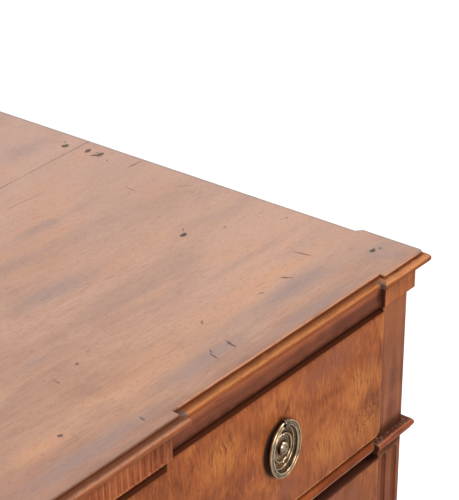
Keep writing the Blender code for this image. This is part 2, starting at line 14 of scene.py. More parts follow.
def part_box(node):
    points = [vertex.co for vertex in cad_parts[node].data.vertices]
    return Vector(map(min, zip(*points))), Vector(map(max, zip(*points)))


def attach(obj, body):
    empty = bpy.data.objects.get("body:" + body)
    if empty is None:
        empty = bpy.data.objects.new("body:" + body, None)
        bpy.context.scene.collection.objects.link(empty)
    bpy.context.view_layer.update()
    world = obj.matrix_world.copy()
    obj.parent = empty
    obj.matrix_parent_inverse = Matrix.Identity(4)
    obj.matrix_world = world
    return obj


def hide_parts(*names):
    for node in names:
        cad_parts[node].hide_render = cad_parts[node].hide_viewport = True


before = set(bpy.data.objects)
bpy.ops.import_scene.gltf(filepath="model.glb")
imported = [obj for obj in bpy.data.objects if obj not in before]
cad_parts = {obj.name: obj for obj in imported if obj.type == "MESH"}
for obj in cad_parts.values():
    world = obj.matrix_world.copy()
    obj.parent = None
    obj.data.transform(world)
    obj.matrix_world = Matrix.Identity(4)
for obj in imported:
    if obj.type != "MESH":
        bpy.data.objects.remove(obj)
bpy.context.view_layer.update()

DRAWERS = ("top", "middle", "bottom")
SIDES = ("left", "right")

# Plan of the top's breaks, measured at the nose of its moulding
CORNER_BLOCK_WIDTH = 0.0735
CORNER_BLOCK_DEPTH = 0.081
CENTRE_BLOCK_WIDTH = 0.365
CENTRE_ADVANCE = 0.0018
BAY_STEP = 0.0056
SIDE_STEP = 0.006
SIDE_STEP_RUN = 0.006

# Edge moulding of the top
TOP_FILLET = 0.0032
TOP_LIP = 0.0069
TOP_NOSE = 0.0073
TOP_ROLL_REACH = 0.0062
TOP_UNDER_REACH = 0.0030
SIDE_LIP_SHARE = 0.61
TOP_ARRIS = 0.0007
QUIRK_DEPTH = 0.0007
QUIRK_HEIGHT = 0.0005

# Breaks of the drawers and ledges
CENTRE_HALF = 0.1555
CENTRE_STEP = 0.0082
CENTRE_SLOPE = 0.0090
LEDGE_REACH = 0.0042
LEDGE_FILLET = 0.0012
LEDGE_FILLET_SETBACK = 0.0026
FRONT_ROUND = 0.0014
WORN_CORNER = 0.0070
WORN_STEPS = 6

# Posts and tablet
POST_ROUND = 0.0014
FOOT_TIP = 0.026
FLUTE_WIDTH = 0.0090
FLUTE_DEPTH = 0.0034
FLUTE_SPACING = 0.0180
FLUTE_TOP_MARGIN = 0.0137
FLUTE_BASE_MARGIN = 0.018
TABLET_FLUTE_PITCH = 0.0067
TABLET_FLUTE_WIDTH = 0.0048
TABLET_FLUTE_DEPTH = 0.0019
TABLET_END = 0.0080
TABLET_FOOT = (0.0004, 0.0010, 0.0018, 0.0028)
TABLET_CELL = 0.0005

# Pulls
RING_TUBE = 0.0046
RING_STANDOFF = 0.0043
RING_BAND = 0.0027
RING_BEADS = 3
RING_CROWNS = (0.0020, 0.0015, 0.0020)
RING_FACE = 0.0007
RING_BACK = 0.0018
EYE_RADIUS = 0.0041
EYE_BORE = 0.0029
EYE_LENGTH = 0.0050
LUG_WIDTH = 0.0064
LUG_THICKNESS = 0.0012
LUG_LAP = 0.0030
LUG_ROUND = 0.0004
PIN_RADIUS = 0.0013
PIN_SEAT = 0.0026
PIN_RISE = 0.0012
PLATE_BEAD = (0.0121, 0.0140)
BEAD_SHARE = 0.60
FIELD_RISE = 0.00115
BOSS_SHARE = 0.29
BOSS_BASE = 0.0024
BOSS_RISE = 0.0042
BOSS_FOOT = 0.0031
BOSS_STEPS = 8
JOINT_GAP = 0.0003
KEYHOLE_RADIUS = 0.0022
KEYHOLE_SLIT_WIDTH = 0.0020
KEYHOLE_SLIT_HEIGHT = 0.0080
KEYHOLE_CUT = 0.01

# How fine the dressed pieces are
EDGE_RUN = 0.010
CORNER_ROUND = 0.0011
CORNER_WORN = 0.0065
CORNER_WORN_DROP = 0.0032
CORNER_STEPS = 5
WAVINESS = 0.00014
SLOW_SWAY = 9.0
QUICK_SWAY = 41.0
SWAY_SEED = 7
ROLL_STEPS = 14
TURN_STEPS = 80
RING_BEAD_STEPS = 7
RING_BACK_STEPS = 10
SMOOTH_ANGLE = math.radians(38)
BLOCK_ROUND = 0.0008
CAPITAL_ROUND = 0.0012
WELD_REACH = 0.00001
BEVEL_ANGLE = math.radians(30)


class Signal:
    """One output of a finish's nodes. Arithmetic on it adds Math nodes."""

    def __init__(self, finish, socket):
        self.finish = finish
        self.socket = socket

    def math(self, operation, first, second):
        return self.finish.node("ShaderNodeMath", {"operation": operation}, {0: first, 1: second})

    def __add__(self, other):
        return self.math("ADD", self, other)

    def __radd__(self, other):
        return self.math("ADD", other, self)

    def __sub__(self, other):
        return self.math("SUBTRACT", self, other)

    def __rsub__(self, other):
        return self.math("SUBTRACT", other, self)

    def __mul__(self, other):
        return self.math("MULTIPLY", self, other)

    def __rmul__(self, other):
        return self.math("MULTIPLY", other, self)

    def most(self, other):
        return self.math("MAXIMUM", self, other)

    def magnitude(self):
        return self.math("ABSOLUTE", self, 0.0)


def set_stops(ramp, stops):
    """The stops of a colour ramp, as (position, colour) pairs."""
    while len(ramp.elements) < len(stops):
        ramp.elements.new(1.0)
    for element, (position, colour) in zip(ramp.elements, stops):
        element.position = position
        element.color = (*colour, 1.0)


class Finish:
    """A node tree being built: a material's, or the world's."""

    def __init__(self, tree):
        self.tree = tree

    def node(self, kind, settings=None, sockets=None, out=0):
        """Any node: its settings are set first, then the values or links of its sockets."""
        made = self.tree.nodes.new(kind)
        for name, value in (settings or {}).items():
            if name == "stops":
                set_stops(made.color_ramp, value)
            else:
                setattr(made, name, value)
        for name, value in (sockets or {}).items():
            self.feed(made.inputs[name], value)
        return Signal(self, made.outputs[out]) if made.outputs else None

    def feed(self, socket, value):
        """Link a signal to a socket, or set the socket's own value."""
        if isinstance(value, Signal):
            self.tree.links.new(value.socket, socket)
        elif socket.type == "RGBA" and len(value) == 3:
            socket.default_value = (*value, 1.0)
        else:
            socket.default_value = value

    def place(self):
        """Coordinates on the commode at rest."""
        return self.node("ShaderNodeTexCoord", out="Object")

    def vector(self, operation, *terms):
        return self.node("ShaderNodeVectorMath", {"operation": operation}, dict(enumerate(terms)))

    def axes(self, at):
        """The X, Y and Z of a vector as three signals."""
        parts = self.node("ShaderNodeSeparateXYZ", sockets={0: at})
        owner = parts.socket.node
        return [Signal(self, owner.outputs[i]) for i in range(3)]

    def folded(self, x, y, z):
        """Places of the left half laid on the right half."""
        return self.node("ShaderNodeCombineXYZ", {}, {0: x.magnitude(), 1: y, 2: z})

    def scaled(self, at, scale, shift=(0.0, 0.0, 0.0)):
        return self.vector("MULTIPLY_ADD", at, scale, shift)

    def noise(self, at, scale=1.0, detail=4.0, rough=0.55, twist=0.0, out="Fac"):
        sockets = {"Vector": at, "Scale": scale, "Detail": detail, "Roughness": rough, "Distortion": twist}
        return self.node("ShaderNodeTexNoise", {}, sockets, out)

    def stretched(self, at, stretch, detail, rough=0.55, twist=0.0, shift=(0.0, 0.0, 0.0)):
        """Noise with its own scale along each axis."""
        return self.noise(self.scaled(at, stretch, shift), 1.0, detail, rough, twist)

    def bent(self, at, scale, amount):
        """Coordinates pushed about by slow noise."""
        push = self.vector("SUBTRACT", self.noise(at, scale, 2.0, out="Color"), (0.5, 0.5, 0.5))
        return self.vector("MULTIPLY_ADD", push, amount, at)

    def band(self, value, low, high, bottom=0.0, top=1.0):
        """A smooth step from bottom at low to top at high."""
        sockets = {"Value": value, 1: low, 2: high, 3: bottom, 4: top}
        return self.node("ShaderNodeMapRange", {"interpolation_type": "SMOOTHSTEP"}, sockets)

    def ramp(self, value, stops):
        return self.node("ShaderNodeValToRGB", {"stops": stops}, {0: value})

    def mix(self, share, first, second):
        """A colour that goes from the first to the second as share goes from 0 to 1."""
        return self.node("ShaderNodeMix", {"data_type": "RGBA"}, {0: share, 6: first, 7: second}, 2)

    def spot(self, at, centre, size, turn=(0.0, 0.0, 0.0), soft=0.5):
        """1 inside an ellipse about a centre, fading out at its rim."""
        sockets = {"Vector": at, "Location": centre, "Rotation": turn, "Scale": size}
        local = self.node("ShaderNodeMapping", {"vector_type": "TEXTURE"}, sockets)
        reach = self.node("ShaderNodeVectorMath", {"operation": "LENGTH"}, {0: local}, "Value")
        return self.band(reach, 1.0, soft)

    def edges(self, radius, low=0.004, high=0.10):
        """1 on edges and corners of the piece, from how far its rounded normal turns."""
        rounded = self.node("ShaderNodeBevel", {"samples": 6}, {"Radius": radius})
        face = self.node("ShaderNodeNewGeometry", out="Normal")
        turn = self.node("ShaderNodeVectorMath", {"operation": "DOT_PRODUCT"}, {0: rounded, 1: face}, "Value")
        return self.band(1.0 - turn, low, high)

    def dirt_and_shade(self, reach, low=0.35, high=0.95):
        """1 deep in a corner or groove, where grime gathers and shade is painted; 0 on open faces."""
        open_air = self.node("ShaderNodeAmbientOcclusion", {"samples": 8}, {"Distance": reach}, "AO")
        return self.band(open_air, high, low)


def new_finish(name):
    """A material with an empty tree, and the finish that fills it."""
    material = bpy.data.materials.new(name)
    material.use_nodes = True
    material.node_tree.nodes.clear()
    return material, Finish(material.node_tree)


def close_finish(finish, bump=None, bump_strength=0.2, bump_reach=0.0005, **sockets):
    """End a finish in a Principled surface."""
    if bump is not None:
        raised = {"Height": bump, "Strength": bump_strength, "Distance": bump_reach}
        sockets["Normal"] = finish.node("ShaderNodeBump", {}, raised)
    named = {name.replace("_", " "): value for name, value in sockets.items()}
    shader = finish.node("ShaderNodeBsdfPrincipled", {}, named)
    finish.node("ShaderNodeOutputMaterial", {}, {"Surface": shader})


# Scars and scratches of the top, as (x, y, half length, half width, turn in degrees, depth)
TOP_SCARS = (
    (0.4860, 0.1440, 0.0058, 0.0044, 20, 0.9),
    (0.4925, 0.1510, 0.0035, 0.0012, 70, 0.6),
    (0.4912, 0.1160, 0.0066, 0.0036, 20, 0.9),
    (0.4872, 0.1025, 0.0052, 0.0026, -40, 0.9),
    (0.4925, 0.0985, 0.0072, 0.0038, 15, 0.9),
    (0.4940, 0.1045, 0.0018, 0.0019, 0, 0.7),
    (0.4856, 0.0825, 0.0024, 0.0014, 0, 0.5),
    (0.4969, 0.0531, 0.0142, 0.0010, -2, 0.8),
    (0.4488, 0.0156, 0.0101, 0.0009, 88, 0.6),
    (0.4863, -0.0206, 0.0101, 0.0010, -40, 0.5),
    (0.4050, -0.0925, 0.0054, 0.0036, 15, 1.0),
    (0.4130, -0.0850, 0.0054, 0.0010, 40, 0.5),
    (0.4413, -0.1125, 0.0032, 0.0016, 10, 0.5),
    (0.4431, -0.2031, 0.0108, 0.0012, 103, 0.8),
    (0.3980, -0.2194, 0.0076, 0.0013, -52, 0.8),
    (0.3613, -0.2194, 0.0038, 0.0013, -35, 0.6),
    (0.2913, -0.2113, 0.0046, 0.0012, 40, 0.6),
    (0.4875, -0.2500, 0.0051, 0.0033, 15, 1.0),
    (0.4956, -0.2525, 0.0024, 0.0019, 0, 0.6),
    (0.2563, -0.2538, 0.0081, 0.0013, 75, 0.7),
    (0.2606, -0.2469, 0.0043, 0.0012, 60, 0.6),
    (0.2794, -0.2525, 0.0081, 0.0014, 80, 0.8),
    (0.1531, -0.2688, 0.0046, 0.0013, 80, 0.6),
    (0.0988, -0.2363, 0.0030, 0.0025, 0, 0.8),
    (0.1500, -0.1813, 0.0057, 0.0010, 80, 0.5),
    (0.1788, -0.1750, 0.0032, 0.0020, 15, 0.7),
)

# Broad patches, as (across, up, half across, half up, turn in degrees, share)
TOP_WARM_PATCHES = (
    (0.400, -0.209, 0.170, 0.013, 0, 1.0),
    (0.080, -0.237, 0.045, 0.015, 0, 0.9),
    (0.290, -0.028, 0.070, 0.032, 0, 0.8),
    (0.455, -0.022, 0.060, 0.034, 0, 0.8),
    (0.400, 0.062, 0.120, 0.014, 0, 0.6),
)
TOP_GREY_PATCHES = (
    (0.390, -0.237, 0.170, 0.019, 0, 1.0),
    (0.495, -0.258, 0.040, 0.036, 0, 1.0),
    (0.250, -0.252, 0.100, 0.018, 0, 0.9),
    (0.260, -0.074, 0.085, 0.022, 0, 0.9),
    (0.100, -0.268, 0.120, 0.016, 0, 0.8),
    (0.350, 0.026, 0.085, 0.014, 0, 0.8),
    (0.450, 0.168, 0.060, 0.026, 0, 0.7),
    (0.400, -0.168, 0.150, 0.009, 0, 0.5),
    (0.155, -0.147, 0.060, 0.008, 0, 0.5),
    (0.380, -0.272, 0.190, 0.014, 0, 0.8),
)
DRAWER_GOLD_PATCHES = (
    (0.229, 0.770, 0.038, 0.032, 0, 0.9),
    (0.314, 0.787, 0.017, 0.014, 0, 0.6),
    (0.428, 0.739, 0.040, 0.027, 0, 1.0),
    (0.383, 0.699, 0.044, 0.031, 0, 1.0),
    (0.436, 0.694, 0.036, 0.032, 0, 0.9),
    (0.060, 0.735, 0.055, 0.034, 20, 0.8),
)
DRAWER_MAUVE_PATCHES = (
    (0.380, 0.784, 0.080, 0.026, 0, 1.0),
    (0.443, 0.757, 0.009, 0.016, 0, 0.9),
    (0.317, 0.687, 0.028, 0.018, 0, 0.9),
    (0.120, 0.690, 0.055, 0.020, 15, 0.7),
)
DRAWER_DARK_PATCHES = (
    (0.258, 0.729, 0.044, 0.015, 12, 0.9),
    (0.304, 0.771, 0.010, 0.006, 20, 0.6),
    (0.180, 0.700, 0.030, 0.014, 25, 0.7),
)
# Painted shadow with grime in bands along the tops of the drawer fronts, under the frieze and the rails
DRAWER_SHADOWS_AND_GRIME = (
    (0.000, 0.8000, 9.000, 0.0036, 0, 0.28),
    (0.000, 0.6412, 9.000, 0.0044, 0, 0.90),
    (0.000, 0.3865, 9.000, 0.0044, 0, 0.90),
)
DRAWER_BURRS = ((0.440, 0.701, 0.038, 0.032, 0, 0.88),)
DRAWER_SCARS = (
    (0.3150, 0.7685, 0.0068, 0.0022, 48, 0.75),
    (0.4405, 0.6330, 0.0050, 0.0008, 86, 0.90),
)
FACE_DEPTH = 9.0


def patches(finish, at, rows, upright=False, soft=0.15):
    """The union of soft ellipses on a level face, or on an upright one that looks forward."""
    whole = None
    for across, up, half_across, half_up, turn, share in rows:
        angle = math.radians(turn)
        if upright:
            size = (half_across, FACE_DEPTH, half_up)
            one = finish.spot(at, (across, 0.0, up), size, (0.0, -angle, 0.0), soft)
        else:
            size = (half_across, half_up, FACE_DEPTH)
            one = finish.spot(at, (across, up, 0.0), size, (0.0, 0.0, angle), soft)
        whole = share * one if whole is None else whole.most(share * one)
    return whole


TOP_TONES = (
    (0.40, (0.300, 0.145, 0.092)),
    (0.47, (0.400, 0.205, 0.132)),
    (0.53, (0.460, 0.248, 0.162)),
    (0.60, (0.540, 0.308, 0.205)),
)
TOP_WARM = (0.660, 0.330, 0.185)
TOP_GREY = (0.350, 0.243, 0.222)
TOP_SHEEN = (0.750, 0.455, 0.355)
TOP_BRIGHT = (0.640, 0.365, 0.255)
TOP_SHADE = (0.390, 0.198, 0.142)
TOP_PORE = (0.230, 0.110, 0.072)
TOP_SCAR = (0.045, 0.032, 0.030)
TOP_EDGE = (0.300, 0.195, 0.150)
TOP_RIM = (0.270, 0.232, 0.222)
# The joint between two planks, which runs a little askew, and a short drying check beside it
JOINT_Y = 0.0865
JOINT_SLOPE = 0.087
JOINT_WIDTH = (0.0016, 0.0002)
CHECK_PLACE = (0.367, 0.079)
CHECK_WIDTH = (0.0011, 0.0004)
CHECK_LENGTH = (0.030, 0.018)
# Worn rims of the top, and how sharply a tone changes at a break
RIM_WIDTH = 0.006
SIDE_RIM_WIDTH = 0.005
BREAK_BLUR = 0.001


def top_finish(front, side, centre_outer):
    """The waxed top: soft streaks, a painted sheen paler towards the back, painted shade at the front left,
    dulled and rubbed patches, pores, scars and a plank joint.
    """
    material, f = new_finish("top_wood_dressed")
    at = f.place()
    x, y = f.axes(at)[:2]
    grain = f.bent(at, 3.0, (0.06, 0.016, 0.0))
    broad = f.stretched(grain, (1.6, 15.0, 1.0), 3.0, 0.5, 0.4)
    streak = f.stretched(grain, (8.0, 95.0, 1.0), 5.0, 0.65)
    fine = f.stretched(grain, (34.0, 460.0, 1.0), 3.0, 0.6)
    cloud = f.stretched(at, (9.0, 16.0, 1.0), 5.0, 0.6, 0.8)
    colour = f.ramp(0.28 * broad + 0.20 * streak + 0.20 * fine + 0.32 * cloud, TOP_TONES)
    # Painted sheen: the top grows paler towards the back
    colour = f.mix(f.band(y, -0.30, 0.20, 0.0, 0.66), colour, TOP_SHEEN)
    colour = f.mix(0.8 * f.band(x - y, 0.34, 0.62) * f.band(y, -0.27, -0.21), colour, TOP_BRIGHT)
    colour = f.mix(0.5 * f.band(x, 0.16, 0.02) * f.band(y, -0.02, -0.14), colour, TOP_SHADE)

    ragged = f.bent(at, 16.0, (0.035, 0.014, 0.0))
    glow = f.band(f.stretched(ragged, (4.0, 16.0, 1.0), 3.0, shift=(5.0, 1.0, 0.0)), 0.52, 0.68)
    bloom = f.band(f.stretched(ragged, (4.0, 18.0, 1.0), 3.0, shift=(7.0, 2.0, 0.0)), 0.52, 0.68)
    warm = (0.80 * patches(f, ragged, TOP_WARM_PATCHES, soft=0.0)).most(0.45 * glow)
    grey = (0.82 * patches(f, ragged, TOP_GREY_PATCHES, soft=0.0)).most(0.38 * bloom)
    colour = f.mix(warm * f.band(cloud, 0.20, 0.55), colour, TOP_WARM)
    colour = f.mix(grey * f.band(cloud, 0.80, 0.45), colour, TOP_GREY)
    pores = f.band(f.stretched(grain, (60.0, 800.0, 1.0), 2.0, shift=(3.1, 0.0, 0.0)), 0.58, 0.74)
    flake = f.band(f.stretched(grain, (210.0, 560.0, 1.0), 3.0, shift=(1.0, 6.0, 0.0)), 0.54, 0.72)
    colour = f.mix((0.45 * pores).most(0.36 * flake), colour, TOP_PORE)
    on_centre = f.band(x.magnitude(), centre_outer + BREAK_BLUR, centre_outer - BREAK_BLUR)
    rim = on_centre * f.band(y, front + RIM_WIDTH, front)
    colour = f.mix(0.55 * rim, colour, TOP_EDGE)
    block_back = front - TOP_LIP + CENTRE_ADVANCE + CORNER_BLOCK_DEPTH
    outward = x.magnitude() - SIDE_STEP * f.band(y, block_back, block_back - SIDE_STEP_RUN)
    colour = f.mix(0.65 * f.band(outward, side - SIDE_RIM_WIDTH, side), colour, TOP_RIM)

    off_joint = (y - JOINT_Y - JOINT_SLOPE * x - 0.003 * streak).magnitude()
    joint = f.band(off_joint, *JOINT_WIDTH) * f.band(streak, 0.35, 0.60, 0.20, 0.65)
    beside_check = f.band((y - CHECK_PLACE[1]).magnitude(), *CHECK_WIDTH)
    check = beside_check * f.band((x - CHECK_PLACE[0]).magnitude(), *CHECK_LENGTH)
    scratched = f.bent(at, 260.0, (0.0034, 0.0034, 0.0))
    scar = patches(f, scratched, TOP_SCARS, soft=0.55)
    cells = {"Vector": f.scaled(scratched, (15.0, 46.0, 1.0)), "Scale": 1.0}
    nick = f.band(f.node("ShaderNodeTexVoronoi", {}, cells), 0.062, 0.020) * f.band(cloud, 0.47, 0.55)
    marks = scar.most(0.55 * nick).most(joint).most(0.28 * check)
    colour = f.mix(0.95 * marks, colour, TOP_SCAR)
    colour = f.mix(0.55 * f.edges(0.0025), colour, TOP_EDGE)

    rough = 0.40 + 0.14 * streak + 0.12 * grey + 0.2 * marks
    height = 0.6 * fine + 0.5 * streak - 0.8 * pores - 3.0 * marks
    close_finish(f, height, 0.25, 0.0004, Base_Color=colour, Roughness=rough)
    return material


EDGE_ARRIS = (0.580, 0.262, 0.146)
EDGE_QUIRK_SHADE = (0.160, 0.042, 0.011)
EDGE_NOSE_WEAR_AND_HIGHLIGHT = (0.475, 0.180, 0.056)
EDGE_UNDER_SHADE = (0.280, 0.061, 0.011)
CENTRE_ARRIS = (0.290, 0.150, 0.100)
CENTRE_QUIRK_SHADE = (0.145, 0.048, 0.021)
CENTRE_NOSE_WEAR_AND_HIGHLIGHT = (0.375, 0.162, 0.090)
CENTRE_UNDER_SHADE = (0.262, 0.072, 0.024)
# Tones down the top's moulding, as (drop in metres, tone): a worn arris, painted shade in the fillet
# and quirk, wear with a painted highlight on the nose, and painted shade under the roll; the centre block's
# are darker
EDGE_BANDS = (
    (0.0004, EDGE_ARRIS),
    (0.0020, EDGE_QUIRK_SHADE),
    (0.0032, EDGE_QUIRK_SHADE),
    (0.0052, EDGE_NOSE_WEAR_AND_HIGHLIGHT),
    (0.0073, EDGE_UNDER_SHADE),
)
EDGE_CENTRE_BANDS = (
    (0.0000, CENTRE_ARRIS),
    (0.0018, CENTRE_QUIRK_SHADE),
    (0.0036, CENTRE_QUIRK_SHADE),
    (0.0047, CENTRE_NOSE_WEAR_AND_HIGHLIGHT),
    (0.0051, CENTRE_NOSE_WEAR_AND_HIGHLIGHT),
    (0.0064, CENTRE_UNDER_SHADE),
)
# A pale tone for lighter streaks, and for the painted highlight on the corner blocks' roll
EDGE_PALE_AND_HIGHLIGHT = (0.730, 0.305, 0.135)
EDGE_SIDE = (0.235, 0.180, 0.160)
EDGE_DARK = (0.170, 0.050, 0.020)
EDGE_DUST = (0.085, 0.070, 0.068)
EDGE_SPECK = (0.480, 0.380, 0.340)
# Half sizes of the dark tip of the outer corner and of the dust in a mitre
TIP_WEAR = (0.0075, 0.0075, 0.0050)
MITRE_DUST = (0.0036, 0.0080, 0.0120)
MITRE_DROP = 0.004
# Colours of painted shade with grime in corners, gaps and under ledges, and of painted shadow with grime
# round each pull
GRIME_AND_SHADE = (0.044, 0.012, 0.005)
PULL_SHADOW_AND_GRIME = (0.014, 0.006, 0.003)
RING_SHADE = (0.095, 0.070, 0.032)
MATT = 0.12


def edge_finish(level, thickness, mitres, corner, centre_outer, block_inner, side_inner):
    """The top's moulding: worn on its arris, worn and with a painted highlight on its nose, painted shade in
    its quirk, crevices and under its roll, a painted highlight on the corner blocks, and dusty in its mitres.
    """
    material, f = new_finish("edge_wood_dressed")
    at = f.place()
    x, y, z = f.axes(at)
    across = x.magnitude()
    wavy = f.stretched(at, (60.0, 60.0, 60.0), 3.0, 0.6)
    streak = f.stretched(at, (30.0, 30.0, 420.0), 4.0, 0.65)
    drop = (level - z + 0.0008 * (wavy - 0.5)) * (1.0 / thickness)
    colour = f.ramp(drop, [(depth / thickness, tone) for depth, tone in EDGE_BANDS])
    centre_tones = f.ramp(drop, [(depth / thickness, tone) for depth, tone in EDGE_CENTRE_BANDS])
    colour = f.mix(f.band(across, centre_outer + BREAK_BLUR, centre_outer - BREAK_BLUR), colour, centre_tones)
    # Painted highlight on the roll of the corner blocks
    block_highlight = f.band(across, block_inner - BREAK_BLUR, block_inner + BREAK_BLUR) * f.band(drop, 0.27, 0.31)
    colour = f.mix(0.45 * block_highlight * f.band(drop, 0.54, 0.42), colour, EDGE_PALE_AND_HIGHLIGHT)
    on_side = f.band(across, side_inner - 0.003, side_inner) * f.band(drop, 0.12, 0.06)
    colour = f.mix(0.85 * on_side, colour, EDGE_SIDE)
    colour = f.mix(0.45 * f.band(streak, 0.52, 0.66), colour, EDGE_DARK)
    colour = f.mix(0.14 * f.band(streak, 0.46, 0.34), colour, EDGE_PALE_AND_HIGHLIGHT)
    pitted = f.band(f.stretched(at, (190.0, 190.0, 520.0), 3.0, 0.6), 0.54, 0.68)
    colour = f.mix(0.40 * pitted, colour, EDGE_DARK)
    # Painted shade with grime in the moulding's crevices
    grime_and_shade = f.dirt_and_shade(0.003, 0.35, 0.90)
    colour = f.mix(0.25 * grime_and_shade, colour, GRIME_AND_SHADE)
    folded = f.folded(x, y, z)
    ragged = f.bent(folded, 190.0, (0.006, 0.006, 0.006))
    speck = f.band(f.noise(folded, 520.0, 2.0), 0.60, 0.68)
    tip = f.spot(ragged, corner, TIP_WEAR, soft=0.2)
    colour = f.mix(0.85 * tip, colour, EDGE_DARK)
    for mitre_x, mitre_y in mitres:
        dust = f.spot(ragged, (mitre_x, mitre_y, level - MITRE_DROP), MITRE_DUST, soft=0.30)
        colour = f.mix(0.85 * dust, colour, f.mix(0.7 * speck, EDGE_DUST, EDGE_SPECK))
    rough = 0.40 + 0.2 * streak + 0.2 * grime_and_shade
    close_finish(f, streak, 0.25, 0.0004, Base_Color=colour, Roughness=rough, Specular_IOR_Level=MATT)
    return material


def along_grain(axis, slow, quick):
    """Noise scales of a wood whose grain runs along one axis."""
    scales = [quick, quick, quick]
    scales[axis] = slow
    return tuple(scales)


def looking_up(finish, low=0.30, high=0.75):
    """1 on faces that look up: where dust and old wax lie, and where shade is painted in gaps and on ledges.
    """
    face = finish.node("ShaderNodeNewGeometry", out="Normal")
    return finish.band(finish.axes(face)[2], low, high)


def inward(finish, x):
    """1 on faces that look towards the middle of the commode, where shade is painted."""
    face = finish.node("ShaderNodeNewGeometry", out="Normal")
    return finish.band(finish.axes(face)[0] * x, -0.05, -0.25)


def three_tones(dark, middle, light, spread=0.10):
    """Stops of a ramp about its middle."""
    return ((0.5 - spread, dark), (0.5, middle), (0.5 + spread, light))


def wood_finish(name, tones, axis, shift, pore, rubbed, **extra):
    """A waxed wood: streaks along one axis, pores, rubbed edges, and painted shade with grime in corners and
    patches.

    The extras are shares of wear, of painted shade with grime in corners, of painted shade with dust on
    upward faces, of painted shade on inward faces, and of pale dust; how far the corner shade reaches; glow
    as rows of (low, high, share, colour), bands of tone or of painted light; lines of wear and painted
    highlight as rows of (height, half height, share); and patches of painted shade and stains.
    """
    material, f = new_finish(name)
    place = f.place()
    x, y, z = f.axes(place)
    at = f.vector("ADD", place, shift)
    grain = f.bent(at, 6.0, (0.010, 0.010, 0.010))
    streak = f.stretched(grain, along_grain(axis, 8.0, 170.0), 5.0, 0.62)
    pores = f.stretched(grain, along_grain(axis, 28.0, 800.0), 3.0, 0.55)
    cloud = f.noise(at, 26.0, 4.0, 0.6, 0.8)
    colour = f.ramp(0.46 * streak + 0.32 * cloud + 0.22 * pores, tones)
    # Bands of tone; on the frieze, a band of painted light under the top's moulding
    for low, high, share, tone in extra.get("glow", ()):
        colour = f.mix(share * f.band(z + 0.004 * (cloud - 0.5), low, high), colour, tone)
    colour = f.mix(0.6 * f.band(pores, 0.58, 0.72), colour, pore)
    worn = f.edges(0.0020) * f.band(cloud, 0.30, 0.60)
    colour = f.mix(extra.get("wear", 0.6) * worn, colour, rubbed)
    # Painted shade with grime in corners, on upward and inward faces, and in patches under ledges and where
    # parts meet
    dirt_and_shade = extra.get("grime_and_shade", 0.9) * f.dirt_and_shade(extra.get("reach", 0.007), 0.50, 0.97)
    if "dust_and_shade_on_top" in extra:
        dirt_and_shade = dirt_and_shade.most(extra["dust_and_shade_on_top"] * looking_up(f, 0.80, 0.97))
    if "inward" in extra:
        dirt_and_shade = dirt_and_shade.most(extra["inward"] * inward(f, x))
    if "shades_and_stains" in extra:
        folded = f.folded(x, y, z)
        dirt_and_shade = dirt_and_shade.most(patches(f, f.bent(folded, 110.0, (0.005, 0.0, 0.005)), extra["shades_and_stains"], True, 0.2))
    colour = f.mix(dirt_and_shade, colour, GRIME_AND_SHADE)
    # Lines of wear and painted highlight along the ledges and returns
    for height, half, share in extra.get("lines", ()):
        line = f.band((z - height).magnitude(), half, 0.3 * half) * f.band(cloud, 0.25, 0.50, 0.4, 1.0)
        colour = f.mix(share * line, colour, rubbed)
    if "dust" in extra:
        speck = f.band(f.noise(at, 310.0, 3.0, 0.6), 0.46, 0.66)
        colour = f.mix(extra["dust"] * speck * looking_up(f, 0.35, 0.85), colour, EDGE_SPECK)
    rough = 0.38 + 0.18 * streak + 0.25 * dirt_and_shade
    height = 0.7 * pores + 0.5 * streak
    close_finish(f, height, 0.22, 0.0004, Base_Color=colour, Roughness=rough, Specular_IOR_Level=MATT)
    return material


# Painted shade and dirt on the front, under the ledges and where parts meet, as patches on its right half
# that the left half mirrors
FRIEZE_SHADES_AND_STAINS = (
    (0.4590, 0.8150, 0.0085, 0.0200, 0, 0.80),
    (0.4615, 0.8150, 0.0030, 0.0300, 0, 1.00),
    (0.3200, 0.8020, 9.0000, 0.0068, 0, 0.85),
)
LEDGE_NOTCH_SHADE = ((0.4575, 0.6550, 0.0050, 0.0110, 0, 1.0),)
TABLET_END_SHADE_AND_STAIN = ((0.1665, 0.8150, 0.0062, 0.0300, 0, 0.45),)
POST_SHADES_AND_STAINS = (
    (0.4815, 0.6630, 0.0900, 0.0140, 0, 0.85),
    (0.4815, 0.6425, 0.0320, 0.0080, 0, 0.70),
    (0.4600, 0.6330, 0.0055, 0.0130, 0, 0.75),
    (0.4620, 0.8150, 0.0030, 0.0200, 0, 0.95),
)
# A band of painted light on the frieze under the top's moulding; bands of warmer tone on the posts
FRIEZE_PAINTED_LIGHT = ((0.8155, 0.8230, 0.85, (0.520, 0.148, 0.056)),)
POST_TONE_BANDS = ((0.735, 0.795, 0.55, (0.385, 0.125, 0.046)), (0.655, 0.645, 0.45, (0.255, 0.062, 0.022)))

# Lines of wear and painted highlight along the ledges, and painted shade with dirt at their feet, as half
# heights
LEDGE_LINE = 0.0024
RETURN_LINE = 0.0007
RETURN_LINE_DROP = 0.0009
RETURN_FOOT = 0.0026

